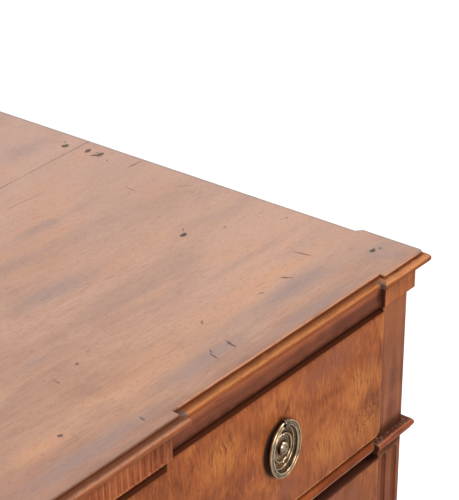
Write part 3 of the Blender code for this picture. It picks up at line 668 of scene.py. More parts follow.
# Woods of the carcase and the drawers' insides: axis is that of the grain, shift tells their patterns apart
WOODS = {
    "case": {
        "tones": three_tones((0.150, 0.042, 0.016), (0.290, 0.086, 0.030), (0.430, 0.145, 0.050)),
        "axis": 2, "shift": (3.0, 1.0, 2.0), "pore": (0.110, 0.032, 0.015), "rubbed": (0.48, 0.200, 0.080),
    },
    "post": {
        "tones": three_tones((0.155, 0.046, 0.022), (0.240, 0.074, 0.033), (0.335, 0.112, 0.051)),
        "axis": 2, "shift": (1.0, 4.0, 0.0), "pore": (0.095, 0.032, 0.020), "rubbed": (0.42, 0.180, 0.095),
        "reach": 0.010, "shades_and_stains": POST_SHADES_AND_STAINS, "glow": POST_TONE_BANDS,
    },
    "capital": {
        "tones": three_tones((0.290, 0.083, 0.026), (0.415, 0.125, 0.039), (0.530, 0.177, 0.056)),
        "axis": 2, "shift": (1.0, 4.0, 0.0), "pore": (0.180, 0.052, 0.020), "rubbed": (0.56, 0.230, 0.090),
        "inward": 0.92,
    },
    "ledge": {
        "tones": three_tones((0.155, 0.033, 0.008), (0.242, 0.053, 0.012), (0.335, 0.086, 0.021)),
        "axis": 0, "shift": (2.0, 7.0, 0.0), "pore": (0.090, 0.024, 0.012), "rubbed": (0.66, 0.315, 0.195),
        "grime_and_shade": 0.15, "shades_and_stains": LEDGE_NOTCH_SHADE,
    },
    "return": {
        "tones": three_tones((0.190, 0.041, 0.015), (0.328, 0.076, 0.026), (0.460, 0.123, 0.047)),
        "axis": 0, "shift": (4.0, 1.0, 3.0), "pore": (0.090, 0.030, 0.018), "rubbed": (0.36, 0.180, 0.110),
        "grime_and_shade": 0.7, "dust_and_shade_on_top": 0.80, "dust": 0.20, "inward": 0.96,
    },
    "frieze": {
        "tones": three_tones((0.120, 0.032, 0.014), (0.188, 0.049, 0.020), (0.255, 0.075, 0.030)),
        "axis": 0, "shift": (5.0, 2.0, 1.0), "pore": (0.070, 0.022, 0.014), "rubbed": (0.26, 0.095, 0.045),
        "wear": 0.2, "grime_and_shade": 0.25, "dust_and_shade_on_top": 0.9, "shades_and_stains": FRIEZE_SHADES_AND_STAINS, "glow": FRIEZE_PAINTED_LIGHT,
    },
    "tablet": {
        "tones": three_tones((0.195, 0.049, 0.018), (0.370, 0.102, 0.038), (0.520, 0.168, 0.062), 0.08),
        "axis": 2, "shift": (1.0, 2.0, 3.0), "pore": (0.110, 0.034, 0.016), "rubbed": (0.40, 0.150, 0.065),
        "wear": 0.15, "reach": 0.004, "shades_and_stains": TABLET_END_SHADE_AND_STAIN,
    },
    "plain": {
        "tones": three_tones((0.270, 0.150, 0.075), (0.390, 0.240, 0.130), (0.490, 0.325, 0.190)),
        "axis": 0, "shift": (0.0, 3.0, 6.0), "pore": (0.22, 0.115, 0.055), "rubbed": (0.52, 0.370, 0.230),
        "wear": 0.3, "grime_and_shade": 0.5,
    },
}
WOODS["side"] = {**WOODS["plain"], "axis": 1, "shift": (3.0, 0.0, 2.0)}


def wood_finishes():
    """The woods by name, with lines of wear and painted highlight, and patches of painted shade with dirt, on
    the ledges at the ledges' own heights.
    """
    rails = [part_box(f"{label}_rail") for label in ("waist", "base")]
    extras = {
        "ledge": {"lines": [(low[2] + LEDGE_LINE, LEDGE_LINE, 0.90) for low, high in rails]},
        "return": {
            "lines": [(high[2] - RETURN_LINE_DROP, RETURN_LINE, 0.30) for low, high in rails],
            "shades_and_stains": [(0.0, low[2], FACE_DEPTH, RETURN_FOOT, 0, 0.8) for low, high in rails],
        },
    }
    return {
        name: wood_finish(f"{name}_wood_dressed", **recipe, **extras.get(name, {}))
        for name, recipe in WOODS.items()
    }


DRAWER_TONES = (
    (0.40, (0.195, 0.050, 0.016)),
    (0.47, (0.285, 0.075, 0.021)),
    (0.53, (0.348, 0.095, 0.025)),
    (0.60, (0.455, 0.145, 0.039)),
)
DRAWER_GOLD = (0.520, 0.180, 0.042)
DRAWER_MAUVE = (0.275, 0.088, 0.046)
DRAWER_DARK = (0.200, 0.050, 0.020)
DRAWER_FLECK = (0.130, 0.034, 0.016)
DRAWER_RUBBED = (0.580, 0.260, 0.100)
DRAWER_SHADE = (0.078, 0.017, 0.005)
DRAWER_BURR = (0.125, 0.026, 0.010)
DRAWER_LOWER = (0.180, 0.066, 0.034)
EDGE_LINE = (0.0030, 0.0012)
# Heights over which the top drawer's veneer gives way to the lower drawers'
WAIST_CHANGE = (0.655, 0.645)


def drawer_finish(pull_shades, half, lows):
    """Figured veneer, matched at the middle: upright strokes over patches, burrs, painted shadow with grime
    at the brass, and painted shade on top edges, in corners and in bands under the frieze and the ledges.
    """
    material, f = new_finish("drawer_wood_dressed")
    at = f.place()
    x, y, z = f.axes(at)
    folded = f.folded(x, y, z)
    swirl = f.bent(f.bent(folded, 12.0, (0.022, 0.0, 0.022)), 60.0, (0.007, 0.0, 0.007))
    cloud = f.stretched(swirl, (14.0, 1.0, 17.0), 3.0, 0.55, 0.6)
    mottle = f.stretched(swirl, (60.0, 1.0, 46.0), 4.0, 0.6, shift=(4.0, 0.0, 1.0))
    stroke = f.stretched(swirl, (420.0, 1.0, 70.0), 4.0, 0.62)
    colour = f.ramp(0.34 * cloud + 0.32 * mottle + 0.34 * stroke, DRAWER_TONES)

    lower = f.band(z, *WAIST_CHANGE)
    colour = f.mix(0.35 * lower, colour, DRAWER_LOWER)
    gold = patches(f, swirl, DRAWER_GOLD_PATCHES, True).most(lower * f.band(cloud, 0.55, 0.68))
    mauve = patches(f, swirl, DRAWER_MAUVE_PATCHES, True).most(lower * f.band(cloud, 0.47, 0.36))
    dark = patches(f, swirl, DRAWER_DARK_PATCHES, True).most(0.6 * lower * f.band(mottle, 0.58, 0.70))
    colour = f.mix(0.75 * gold * f.band(stroke, 0.30, 0.56), colour, DRAWER_GOLD)
    colour = f.mix(0.75 * mauve * f.band(stroke, 0.74, 0.44), colour, DRAWER_MAUVE)
    colour = f.mix(0.70 * dark * f.band(stroke, 0.70, 0.40), colour, DRAWER_DARK)
    curl = f.stretched(swirl, (125.0, 1.0, 150.0), 3.0, 0.6, 2.4)
    burr = patches(f, swirl, DRAWER_BURRS, True, 0.0) * f.band((curl - 0.5).magnitude(), 0.070, 0.022)
    fleck = f.band(f.stretched(swirl, (480.0, 1.0, 90.0), 2.0, shift=(1.0, 0.0, 8.0)), 0.58, 0.72)
    scar = patches(f, f.bent(folded, 300.0, (0.0016, 0.0, 0.0016)), DRAWER_SCARS, True, 0.5)
    colour = f.mix((0.52 * fleck).most(scar), colour, DRAWER_FLECK)
    colour = f.mix(burr, colour, DRAWER_BURR)

    rubbed = 0.35 * f.band(half - x.magnitude(), *EDGE_LINE)
    for low in lows:
        rubbed = rubbed.most(f.band((z - low).magnitude(), *EDGE_LINE))
    colour = f.mix(0.65 * rubbed * f.band(mottle, 0.30, 0.55, 0.4, 1.0), colour, DRAWER_RUBBED)
    colour = f.mix(0.97 * looking_up(f, 0.70, 0.95), colour, DRAWER_SHADE)
    # Painted shade with grime in corners, and painted shadow with grime in bands under the frieze and the
    # ledges
    grime_and_shade = 0.60 * f.dirt_and_shade(0.005, 0.45, 0.93)
    grime_and_shade = grime_and_shade.most(patches(f, f.bent(at, 90.0, (0.0014, 0.0, 0.0014)), DRAWER_SHADOWS_AND_GRIME, True, 0.35))
    colour = f.mix(grime_and_shade, colour, GRIME_AND_SHADE)
    # Painted shadow with grime round each pull, and painted shade behind its ring
    for row, tone in pull_shades:
        colour = f.mix(0.97 * patches(f, at, (row,), True, 0.80), colour, tone)
    rough = 0.34 + 0.16 * stroke + 0.3 * grime_and_shade
    height = 0.6 * stroke + 0.4 * mottle - 0.5 * fleck
    close_finish(f, height, 0.2, 0.0003, Base_Color=colour, Roughness=rough, Specular_IOR_Level=MATT)
    return material


# Brasses of a pull by material place: ring and beads, sunk field, lug and eye, boss
BRASS_SPREAD = 0.12
BRASSES = {
    "brass": {
        "tones": ((0.110, 0.062, 0.028), (0.195, 0.117, 0.056), (0.310, 0.200, 0.100)),
    },
    "brass_field": {
        "tones": ((0.130, 0.076, 0.043), (0.230, 0.142, 0.082), (0.360, 0.240, 0.145)),
        "grimy": 0.60,
    },
    "brass_eye": {
        "tones": ((0.050, 0.032, 0.026), (0.085, 0.056, 0.046), (0.140, 0.096, 0.078)),
        "rubbed": 0.10,
    },
    "brass_boss": {
        "tones": ((0.150, 0.100, 0.062), (0.270, 0.195, 0.130), (0.480, 0.380, 0.270)),
        "grimy": 0.70,
    },
}
FIELD_PLACE = 1
EYE_PLACE = 2
BOSS_PLACE = 3
BRASS_BRIGHT = (0.860, 0.700, 0.465)
BRASS_BROWN = (0.024, 0.014, 0.008)


def brass_finish(name, tones, rubbed=0.62, grimy=0.92):
    """Old brass: rubbed bright on its ridges, brown in its grooves."""
    material, f = new_finish(name)
    at = f.place()
    cloud = f.noise(at, 190.0, 4.0, 0.6)
    scratch = f.stretched(at, (500.0, 500.0, 2600.0), 2.0, 0.5)
    bend = f.node("ShaderNodeNewGeometry", out="Pointiness")
    ridge = f.band(bend, 0.505, 0.56)
    groove = f.band(bend, 0.495, 0.44)
    # Patina, grime and painted shade in the grooves and corners of the brass
    grime_and_shade = f.dirt_and_shade(0.0020, 0.35, 0.92).most(groove)
    colour = f.ramp(cloud, three_tones(*tones, BRASS_SPREAD))
    colour = f.mix(rubbed * ridge * f.band(cloud, 0.20, 0.55, 0.5, 1.0), colour, BRASS_BRIGHT)
    colour = f.mix(grimy * grime_and_shade, colour, BRASS_BROWN)
    metal = 1.0 - 0.45 * grime_and_shade
    rough = 0.11 + 0.12 * cloud + 0.36 * grime_and_shade
    height = 0.6 * cloud + 0.3 * scratch
    close_finish(f, height, 0.06, 0.0002, Base_Color=colour, Roughness=rough, Metallic=metal)
    return material


def inset_outline(outline, moulded, distance):
    """Move the moulded edges of an outline inward by their shares, and mitre them. It runs anticlockwise."""
    count = len(outline)
    normals = []
    for i in range(count):
        run = Vector(outline[(i + 1) % count]) - Vector(outline[i])
        normals.append(Vector((-run.y, run.x)).normalized())
    moved = []
    for i in range(count):
        before = normals[i - 1]
        after = normals[i]
        inset_before = distance * moulded[i - 1]
        inset_after = distance * moulded[i]
        lean = before.dot(after)
        if lean > 0.9999:
            moved.append(Vector(outline[i]) + inset_before * before)
            continue
        shift = (inset_before - inset_after * lean) * before + (inset_after - inset_before * lean) * after
        moved.append(Vector(outline[i]) + shift / (1 - lean * lean))
    return moved


def softened_ring(corners, radii, counts):
    """A ring of points along the corners' outline: corners with a radius rounded, long edges divided."""
    count = len(corners)
    ring = []
    ends = []
    for i, corner in enumerate(corners):
        to_last = (corners[i - 1] - corner).normalized()
        to_next = (corners[(i + 1) % count] - corner).normalized()
        if not radii[i]:
            ends.append([corner])
            continue
        half_angle = to_last.angle(to_next) / 2
        back = radii[i] / math.tan(half_angle)
        centre = corner + (to_last + to_next).normalized() * (radii[i] / math.sin(half_angle))
        start = corner + to_last * back - centre
        stop = corner + to_next * back - centre
        arc = []
        for k in range(CORNER_STEPS + 1):
            arc.append(start.lerp(stop, k / CORNER_STEPS).normalized() * radii[i] + centre)
        ends.append(arc)
    for i in range(count):
        ring.extend(ends[i])
        start = ends[i][-1]
        stop = ends[(i + 1) % count][0]
        for k in range(1, counts[i]):
            ring.append(start.lerp(stop, k / counts[i]))
    return ring


def convex_corners(outline):
    """Which corners of an anticlockwise outline turn left."""
    count = len(outline)
    flags = []
    for i in range(count):
        here = Vector(outline[i])
        before = here - Vector(outline[i - 1])
        after = Vector(outline[(i + 1) % count]) - here
        flags.append(before.x * after.y - before.y * after.x > 0)
    return flags


def bridge(shape, rows, around=True, index=0, smooth=True):
    """Faces between neighbouring rows of points, which close on themselves where they run around."""
    for one, other in zip(rows, rows[1:]):
        for i in range(len(one) if around else len(one) - 1):
            j = (i + 1) % len(one)
            face = shape.faces.new((one[i], other[i], other[j], one[j]))
            face.smooth = smooth
            face.material_index = index


def slab_mesh(outline, moulded, profile, top, worn=()):
    """A flat body with soft corners whose moulded edges follow a profile of (inset, drop) points.

    Its level faces take the first material, and its edges the second. Worn corners are rounder on top.
    """
    count = len(outline)
    convex = convex_corners(outline)
    rounded = [convex[i] and moulded[i - 1] and moulded[i] for i in range(count)]
    counts = []
    for i in range(count):
        length = (Vector(outline[(i + 1) % count]) - Vector(outline[i])).length
        counts.append(max(1, round(length / EDGE_RUN)))
    shape = bmesh.new()
    rows = []
    for inset, drop in profile:
        corners = inset_outline(outline, moulded, inset)
        left = max(0.0, 1.0 - drop / CORNER_WORN_DROP)
        wear = CORNER_ROUND + (CORNER_WORN - CORNER_ROUND) * left
        radii = [(wear if i in worn else CORNER_ROUND) * rounded[i] for i in range(count)]
        ring = softened_ring(corners, radii, counts)
        row = []
        for point in ring:
            place = Vector((point.x, point.y, top - drop))
            sway = noise.noise_vector(place * SLOW_SWAY) + 0.5 * noise.noise_vector(place * QUICK_SWAY)
            place.x += WAVINESS * sway.x
            place.y += WAVINESS * sway.y
            place.z += 0.5 * WAVINESS * sway.z if drop else 0.0
            row.append(shape.verts.new(place))
        rows.append(row)
    bridge(shape, rows, index=1)
    shape.faces.new(rows[0])
    shape.faces.new(list(reversed(rows[-1])))
    return closed_mesh(shape)


def closed_mesh(shape):
    """Close a bmesh into a mesh whose faces point out, with sharp edges kept sharp."""
    bmesh.ops.recalc_face_normals(shape, faces=shape.faces)
    mesh = bpy.data.meshes.new("shape")
    shape.to_mesh(mesh)
    shape.free()
    mesh.set_sharp_from_angle(angle=SMOOTH_ANGLE)
    return mesh


def placed(name, data):
    """A mesh, lamp or camera as an object of the scene."""
    thing = bpy.data.objects.new(name, data)
    bpy.context.scene.collection.objects.link(thing)
    return thing


def piece(node, mesh, finishes, body):
    """A dressed piece that stands for a CAD node and moves with its body."""
    mesh.name = f"{node}_dressed"
    thing = placed(f"{node}_dressed", mesh)
    for finish in finishes:
        mesh.materials.append(finish)
    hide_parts(node)
    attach(thing, body)


def middle_and_half(node):
    """The middle of a CAD node's box, and half its size."""
    low, high = (Vector(corner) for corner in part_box(node))
    return (low + high) / 2, (high - low) / 2


def half_round(top, bottom, reach, steps):
    """Points (inset, drop) round a roll, whose nose has no inset."""
    middle = (top + bottom) / 2
    half = (bottom - top) / 2
    turns = [math.pi * i / steps for i in range(steps + 1)]
    return [(reach * (1 - math.sin(t)), middle - half * math.cos(t)) for t in turns]


def nosed_roll(bottom):
    """Points (inset, drop) round the top's roll: a long fall to its nose, and a short return below."""
    turns = [math.pi / 2 * k / ROLL_STEPS for k in range(ROLL_STEPS + 1)]
    fall = TOP_NOSE - TOP_FILLET
    back = bottom - TOP_NOSE
    points = [(TOP_ROLL_REACH * (1 - math.sin(t)), TOP_NOSE - fall * math.cos(t)) for t in turns]
    points += [(TOP_UNDER_REACH * (1 - math.cos(t)), TOP_NOSE + back * math.sin(t)) for t in turns[1:]]
    return points


def quarter_round(inset, drop, radius, steps):
    """Points (inset, drop) over an upper edge that starts level and ends upright at the inset."""
    turns = [math.pi / 2 * i / steps for i in range(steps + 1)]
    return [(inset + radius * (1 - math.sin(t)), drop + radius * (1 - math.cos(t))) for t in turns]


def mirrored(points):
    """The same outline on the other side of the commode, still anticlockwise."""
    return [(-x, y) for x, y in reversed(points)]


def dress_top(finishes):
    """The top board, with its worn arris, fillet, quirk and roll."""
    low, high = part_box("top_board")
    nose_x = high[0]
    front_y = low[1]
    back_y = high[1]
    nose_y = front_y + CENTRE_ADVANCE
    bay_y = nose_y + BAY_STEP
    corner_back = nose_y + CORNER_BLOCK_DEPTH
    corner_inner = nose_x - CORNER_BLOCK_WIDTH
    centre = CENTRE_BLOCK_WIDTH / 2
    side = nose_x - SIDE_STEP
    right = [
        (centre, front_y),
        (centre, bay_y),
        (corner_inner, bay_y),
        (corner_inner, nose_y),
        (nose_x, nose_y),
        (nose_x, corner_back - SIDE_STEP_RUN),
        (side, corner_back),
        (side, back_y),
    ]
    outline = mirrored(right) + right
    moulded = [SIDE_LIP_SHARE] * 3 + [1.0] * (len(outline) - 7) + [SIDE_LIP_SHARE] * 3 + [0.0]
    thickness = high[2] - low[2]
    profile = quarter_round(TOP_LIP, 0.0, TOP_ARRIS, 4)
    profile += [
        (TOP_LIP, TOP_FILLET - QUIRK_HEIGHT),
        (TOP_LIP + QUIRK_DEPTH, TOP_FILLET - QUIRK_HEIGHT / 2),
        (TOP_LIP + QUIRK_DEPTH, TOP_FILLET),
    ]
    profile += nosed_roll(thickness)
    outer_corners = [outline.index((nose_x, nose_y)), outline.index((-nose_x, nose_y))]
    mesh = slab_mesh(outline, moulded, profile, high[2], outer_corners)
    piece("top_board", mesh, finishes, "carcase")


def ledge_profile(height):
    """Roll over a small fillet, for the waist and the base."""
    roll_low = height - LEDGE_FILLET
    roll = half_round(0.0, roll_low, LEDGE_REACH, ROLL_STEPS)
    return roll + [(LEDGE_FILLET_SETBACK, roll_low), (LEDGE_FILLET_SETBACK, height)]


def dress_ledge(label, finish, return_finish):
    """The moulded rail across the front at the waist or the base, and its two returns."""
    low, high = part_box(f"{label}_rail")
    turn_low, turn_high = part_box(f"{label}_moulding_right")
    profile = ledge_profile(high[2] - low[2])
    centre_y = low[1]
    bay_y = centre_y + CENTRE_STEP
    corner_inner = turn_low[0]
    post_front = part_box("front_post_right")[0][1]
    right = [
        (CENTRE_HALF, centre_y),
        (CENTRE_HALF + CENTRE_SLOPE, bay_y),
        (corner_inner - JOINT_GAP, bay_y),
        (corner_inner - JOINT_GAP, post_front + JOINT_GAP),
        (high[0], post_front + JOINT_GAP),
        (high[0], high[1]),
    ]
    outline = mirrored(right) + right
    front_edges = range(len(right) - 3, len(right) + 2)
    moulded = [i in front_edges for i in range(len(outline))]
    mesh = slab_mesh(outline, moulded, profile, high[2])
    piece(f"{label}_rail", mesh, (finish, finish), "carcase")

    inner_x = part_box("front_post_right")[1][0] + JOINT_GAP
    return_right = [
        (corner_inner, post_front - JOINT_GAP),
        (corner_inner, turn_low[1]),
        (turn_high[0], turn_low[1]),
        (turn_high[0], turn_high[1]),
        (inner_x, turn_high[1]),
        (inner_x, post_front - JOINT_GAP),
    ]
    returns = {
        "left": (mirrored(return_right), [False, False, True, True, True, False]),
        "right": (return_right, [True, True, True, False, False, False]),
    }
    for side in SIDES:
        mesh = slab_mesh(*returns[side], profile, turn_high[2])
        piece(f"{label}_moulding_{side}", mesh, (return_finish, return_finish), "carcase")


def front_profile(height):
    """A drawer front's face, rounded at its upper and lower edge, with rows for a worn corner."""
    upper = quarter_round(0.0, 0.0, FRONT_ROUND, 4)
    rows = [(0.0, height - WORN_CORNER * k / WORN_STEPS) for k in range(WORN_STEPS + 1, 1, -1)]
    lower = [(inset, height - drop) for inset, drop in reversed(upper)]
    return upper + rows + lower


def wear_corner(mesh, right, low):
    """Round off the lower right corner of a drawer front."""
    centre_x = right - WORN_CORNER
    centre_z = low + WORN_CORNER
    for vert in mesh.vertices:
        out = vert.co.x - centre_x
        down = centre_z - vert.co.z
        if out > 0.0 and down > 0.0:
            share = max(out, down) / math.hypot(out, down)
            vert.co.x = centre_x + out * share
            vert.co.z = centre_z - down * share


def dress_drawer(label, finish):
    """A drawer front with soft edges. The top one has lost its lower right corner to wear."""
    low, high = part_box(f"{label}_drawer_front")
    half = high[0]
    face_y = low[1] + CENTRE_STEP
    right = [(CENTRE_HALF, low[1]), (CENTRE_HALF + CENTRE_SLOPE, face_y)]
    right += [(half - WORN_CORNER * k / WORN_STEPS, face_y) for k in range(WORN_STEPS, 0, -1)]
    right += [(half, face_y), (half, high[1])]
    outline = mirrored(right) + right
    moulded = [True] * (len(outline) - 1) + [False]
    mesh = slab_mesh(outline, moulded, front_profile(high[2] - low[2]), high[2])
    if label == "top":
        wear_corner(mesh, half, low[2])
    piece(f"{label}_drawer_front", mesh, (finish, finish), f"{label}_drawer")


def carved(solid, cutters):
    """The mesh of a solid with its cutters taken out of it. All of these objects are then removed."""
    for cutter in cutters:
        solid.modifiers.new("cut", "BOOLEAN").object = cutter
    bpy.context.view_layer.update()
    graph = bpy.context.evaluated_depsgraph_get()
    mesh = bpy.data.meshes.new_from_object(solid.evaluated_get(graph))
    for thing in (solid, *cutters):
        bpy.data.objects.remove(thing, do_unlink=True)
    mesh.shade_smooth()
    mesh.set_sharp_from_angle(angle=SMOOTH_ANGLE)
    return mesh


def loft(rings):
    """A closed bmesh through rings that have the same number of points."""
    shape = bmesh.new()
    rows = [[shape.verts.new(point) for point in ring] for ring in rings]
    bridge(shape, rows, smooth=False)
    shape.faces.new(list(reversed(rows[0])))
    shape.faces.new(rows[-1])
    return shape


def groove_radius(width, depth):
    """Radius of the round cutter that leaves a groove of this width and depth."""
    return (width * width / 4 + depth * depth) / (2 * depth)


def dress_post(side, finish):
    """A front post with soft corners, a tapered foot and two stopped flutes."""
    node = f"front_post_{side}"
    low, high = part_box(node)
    base_low, base_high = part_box("base_rail")
    middle, half = middle_and_half(node)
    tip = (FOOT_TIP / 2, FOOT_TIP / 2)
    rings = []
    for z, (x_half, y_half) in ((0.0, tip), (base_low[2], half.xy), (high[2], half.xy)):
        corners = [
            Vector((middle.x + sx * x_half, middle.y + sy * y_half))
            for sx, sy in ((-1, -1), (1, -1), (1, 1), (-1, 1))
        ]
        ring = softened_ring(corners, [POST_ROUND] * 4, [1] * 4)
        rings.append([(point.x, point.y, z) for point in ring])
    post = placed("post", closed_mesh(loft(rings)))

    radius = groove_radius(FLUTE_WIDTH, FLUTE_DEPTH)
    flute_low = base_high[2] + FLUTE_BASE_MARGIN
    flute_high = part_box("waist_rail")[0][2] - FLUTE_TOP_MARGIN
    stretch = (flute_high - flute_low) / 2 - radius
    cutters = []
    for offset in (-FLUTE_SPACING / 2, FLUTE_SPACING / 2):
        shape = bmesh.new()
        bmesh.ops.create_uvsphere(shape, u_segments=64, v_segments=33, radius=radius)
        for vert in shape.verts:
            vert.co.z += math.copysign(stretch, vert.co.z)
        cutter = placed("flute", closed_mesh(shape))
        cutter.location = (middle.x + offset, low[1] - radius + FLUTE_DEPTH, (flute_low + flute_high) / 2)
        cutters.append(cutter)
    piece(node, carved(post, cutters), (finish,), "carcase")


def flute_depth(x, half):
    """How deep the tablet's fluted face lies at one place across it."""
    count = int(2 * (half - TABLET_END) // TABLET_FLUTE_PITCH)
    place = (x + TABLET_FLUTE_PITCH * count / 2) % TABLET_FLUTE_PITCH - TABLET_FLUTE_PITCH / 2
    off = 2 * abs(place) / TABLET_FLUTE_WIDTH
    if abs(x) > TABLET_FLUTE_PITCH * count / 2 or off >= 1.0:
        return 0.0
    return TABLET_FLUTE_DEPTH * math.sqrt(1.0 - off * off)


def dress_tablet(finish):
    """The centre tablet, whose flutes run through from its top to its foot."""
    low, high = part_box("fluted_tablet")
    half = high[0]
    columns = round(2 * half / TABLET_CELL)
    shape = bmesh.new()
    rows = []
    heights = [low[2]] + [low[2] + rise for rise in TABLET_FOOT] + [high[2]]
    for k, z in enumerate(heights):
        share = math.sqrt(min(1.0, max(0, k - 1) / (len(TABLET_FOOT) - 1)))
        row = []
        for i in range(columns + 1):
            x = -half + 2 * half * i / columns
            row.append(shape.verts.new((x, low[1] + share * flute_depth(x, half), z)))
        rows.append(row)
    bridge(shape, rows, around=False)
    corners = [shape.verts.new((x, high[1], z)) for z in (low[2], high[2]) for x in (-half, half)]
    back_low_left, back_low_right, back_high_left, back_high_right = corners
    shape.faces.new(rows[0] + [back_low_right, back_low_left])
    shape.faces.new(rows[-1] + [back_high_right, back_high_left])
    shape.faces.new([row[0] for row in rows] + [back_high_left, back_low_left])
    shape.faces.new([row[-1] for row in rows] + [back_high_right, back_low_right])
    shape.faces.new((back_low_left, back_low_right, back_high_right, back_high_left))
    piece("fluted_tablet", closed_mesh(shape), (finish,), "carcase")


def turned_oval(profile, bead, rim):
    """A bmesh from (share, height) points, from its crown to its back.

    Shares grow from 0 in the middle through BEAD_SHARE, on the bead's oval, to 1 on the rim's oval. Faces
    of the sunk field take the second material.
    """
    shape = bmesh.new()
    rows = []
    for share, height in profile:
        if share == 0.0:
            rows.append([shape.verts.new((0.0, -height, 0.0))])
            continue
        if share < BEAD_SHARE:
            half = Vector(bead) * share / BEAD_SHARE
        else:
            half = Vector(bead).lerp(Vector(rim), (share - BEAD_SHARE) / (1 - BEAD_SHARE))
        row = []
        for i in range(TURN_STEPS):
            turn = math.tau * i / TURN_STEPS
            row.append(shape.verts.new((half.x * math.sin(turn), -height, half.y * math.cos(turn))))
        rows.append(row)
    for k in range(len(rows) - 1):
        inner, outer = rows[k], rows[k + 1]
        sunk = max(profile[k][1], profile[k + 1][1]) < FIELD_RISE and profile[k + 1][1] > 0.0
        for i in range(TURN_STEPS):
            j = (i + 1) % TURN_STEPS
            if len(inner) == 1:
                face = shape.faces.new((inner[0], outer[i], outer[j]))
            elif len(outer) == 1:
                face = shape.faces.new((inner[i], outer[0], inner[j]))
            else:
                face = shape.faces.new((inner[i], outer[i], outer[j], inner[j]))
            face.smooth = True
            face.material_index = FIELD_PLACE if sunk else 0
    return shape


def bead_rise(start, stop, base, crown, steps):
    """Profile points over a half-round bead."""
    points = []
    for k in range(steps + 1):
        turn = math.pi * k / steps
        share = start + (stop - start) * (1 - math.cos(turn)) / 2
        points.append((share, base + (crown - base) * math.sin(turn)))
    return points


def plate_profile():
    """The backplate from its boss out to its rim: shares and heights."""
    profile = [(0.0, BOSS_BASE + BOSS_RISE)]
    for k in range(1, BOSS_STEPS + 1):
        turn = math.pi / 2 * k / BOSS_STEPS
        profile.append((BOSS_SHARE * math.sin(turn), BOSS_BASE + BOSS_RISE * math.cos(turn)))
    profile += [(BOSS_SHARE + 0.02, 0.0011), (0.39, 0.0008), (0.47, 0.0007), (0.52, 0.0009)]
    profile += bead_rise(0.535, 0.665, 0.0010, 0.0030, 8)
    profile += [(0.68, 0.0009), (0.78, 0.0008), (0.88, 0.0010)]
    profile += bead_rise(0.895, 1.0, 0.0011, 0.0023, 6)
    profile += [(1.0, 0.0), (0.0, 0.0)]
    return profile


def add_tube(shape, middle, radius, bore, length, segments=28):
    """A short tube along X with soft rims, added to a bmesh."""
    soft = (radius - bore) * 0.3
    section = [
        (bore, -length / 2 + soft),
        (bore + soft, -length / 2),
        (radius - soft, -length / 2),
        (radius, -length / 2 + soft),
        (radius, length / 2 - soft),
        (radius - soft, length / 2),
        (bore + soft, length / 2),
        (bore, length / 2 - soft),
    ]
    rows = []
    for r, x in section:
        row = []
        for i in range(segments):
            turn = math.tau * i / segments
            row.append(shape.verts.new(middle + Vector((x, r * math.cos(turn), r * math.sin(turn)))))
        rows.append(row)
    bridge(shape, rows + rows[:1])


def add_block(shape, low, high, soft):
    """A box with bevelled edges, added to a bmesh."""
    size = Vector(high) - Vector(low)
    middle = (Vector(high) + Vector(low)) / 2
    matrix = Matrix.Translation(middle) @ Matrix.Diagonal((*size, 1.0))
    made = bmesh.ops.create_cube(shape, size=1.0, matrix=matrix)
    edges = {edge for vert in made["verts"] for edge in vert.link_edges}
    bmesh.ops.bevel(shape, geom=list(edges), offset=soft, segments=2, profile=0.6, affect="EDGES")


def add_pin(shape, middle, radius, rise):
    """A round pin head on a face that looks towards -Y, added to a bmesh."""
    matrix = Matrix.Translation(middle) @ Matrix.Diagonal((1.0, rise / radius, 1.0, 1.0))
    made = bmesh.ops.create_uvsphere(shape, u_segments=16, v_segments=10, radius=radius, matrix=matrix)
    for face in {face for vert in made["verts"] for face in vert.link_faces}:
        face.smooth = True


def dress_pull(drawer, side, finishes):
    """A ring pull: its plate with beads, boss, pins, lug and eye, and its grooved ring."""
    plate = f"{drawer}_{side}_backplate"
    ring = f"{drawer}_{side}_ring"
    low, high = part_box(plate)
    plate_middle, plate_half = middle_and_half(plate)
    ring_middle, ring_half = middle_and_half(ring)
    middle = Vector((plate_middle.x, high[1], ring_middle.z))
    half_height = ring_middle.z - low[2]
    hinge = Vector((0.0, -RING_STANDOFF, ring_half.z - RING_TUBE / 2))

    shape = turned_oval(plate_profile(), PLATE_BEAD, (plate_half.x, half_height))
    for face in shape.faces:
        if face.calc_center_median().y < -BOSS_FOOT:
            face.material_index = BOSS_PLACE
    for sign in (-1, 1):
        add_pin(shape, Vector((0.0, -PIN_SEAT, sign * PLATE_BEAD[1])), PIN_RADIUS, PIN_RISE)
    plate_faces = set(shape.faces)
    lug_low = (-LUG_WIDTH / 2, -LUG_THICKNESS, half_height - LUG_LAP)
    add_block(shape, lug_low, (LUG_WIDTH / 2, 0.0, hinge.z), LUG_ROUND)
    add_tube(shape, hinge, EYE_RADIUS, EYE_BORE, EYE_LENGTH)
    for face in set(shape.faces) - plate_faces:
        face.material_index = EYE_PLACE
    bmesh.ops.translate(shape, verts=shape.verts, vec=middle)
    piece(plate, closed_mesh(shape), finishes, f"{drawer}_drawer")
    piece(ring, ring_mesh(middle + hinge, ring_half.x, ring_half.z), finishes[:1], ring)


def ring_section():
    """Section of the ring as (outward, forward) points: a round back, and beads across its face."""
    points = []
    half = RING_BAND / RING_BEADS
    for bead in range(RING_BEADS):
        middle = RING_BAND - half * (2 * bead + 1)
        crown = RING_CROWNS[bead] - RING_FACE
        for k in range(RING_BEAD_STEPS):
            turn = math.pi * k / RING_BEAD_STEPS
            points.append((middle + half * math.cos(turn), RING_FACE + crown * math.sin(turn)))
    for k in range(RING_BACK_STEPS):
        turn = math.pi * k / RING_BACK_STEPS
        points.append((-RING_BAND * math.cos(turn), RING_FACE - (RING_FACE + RING_BACK) * math.sin(turn)))
    return points


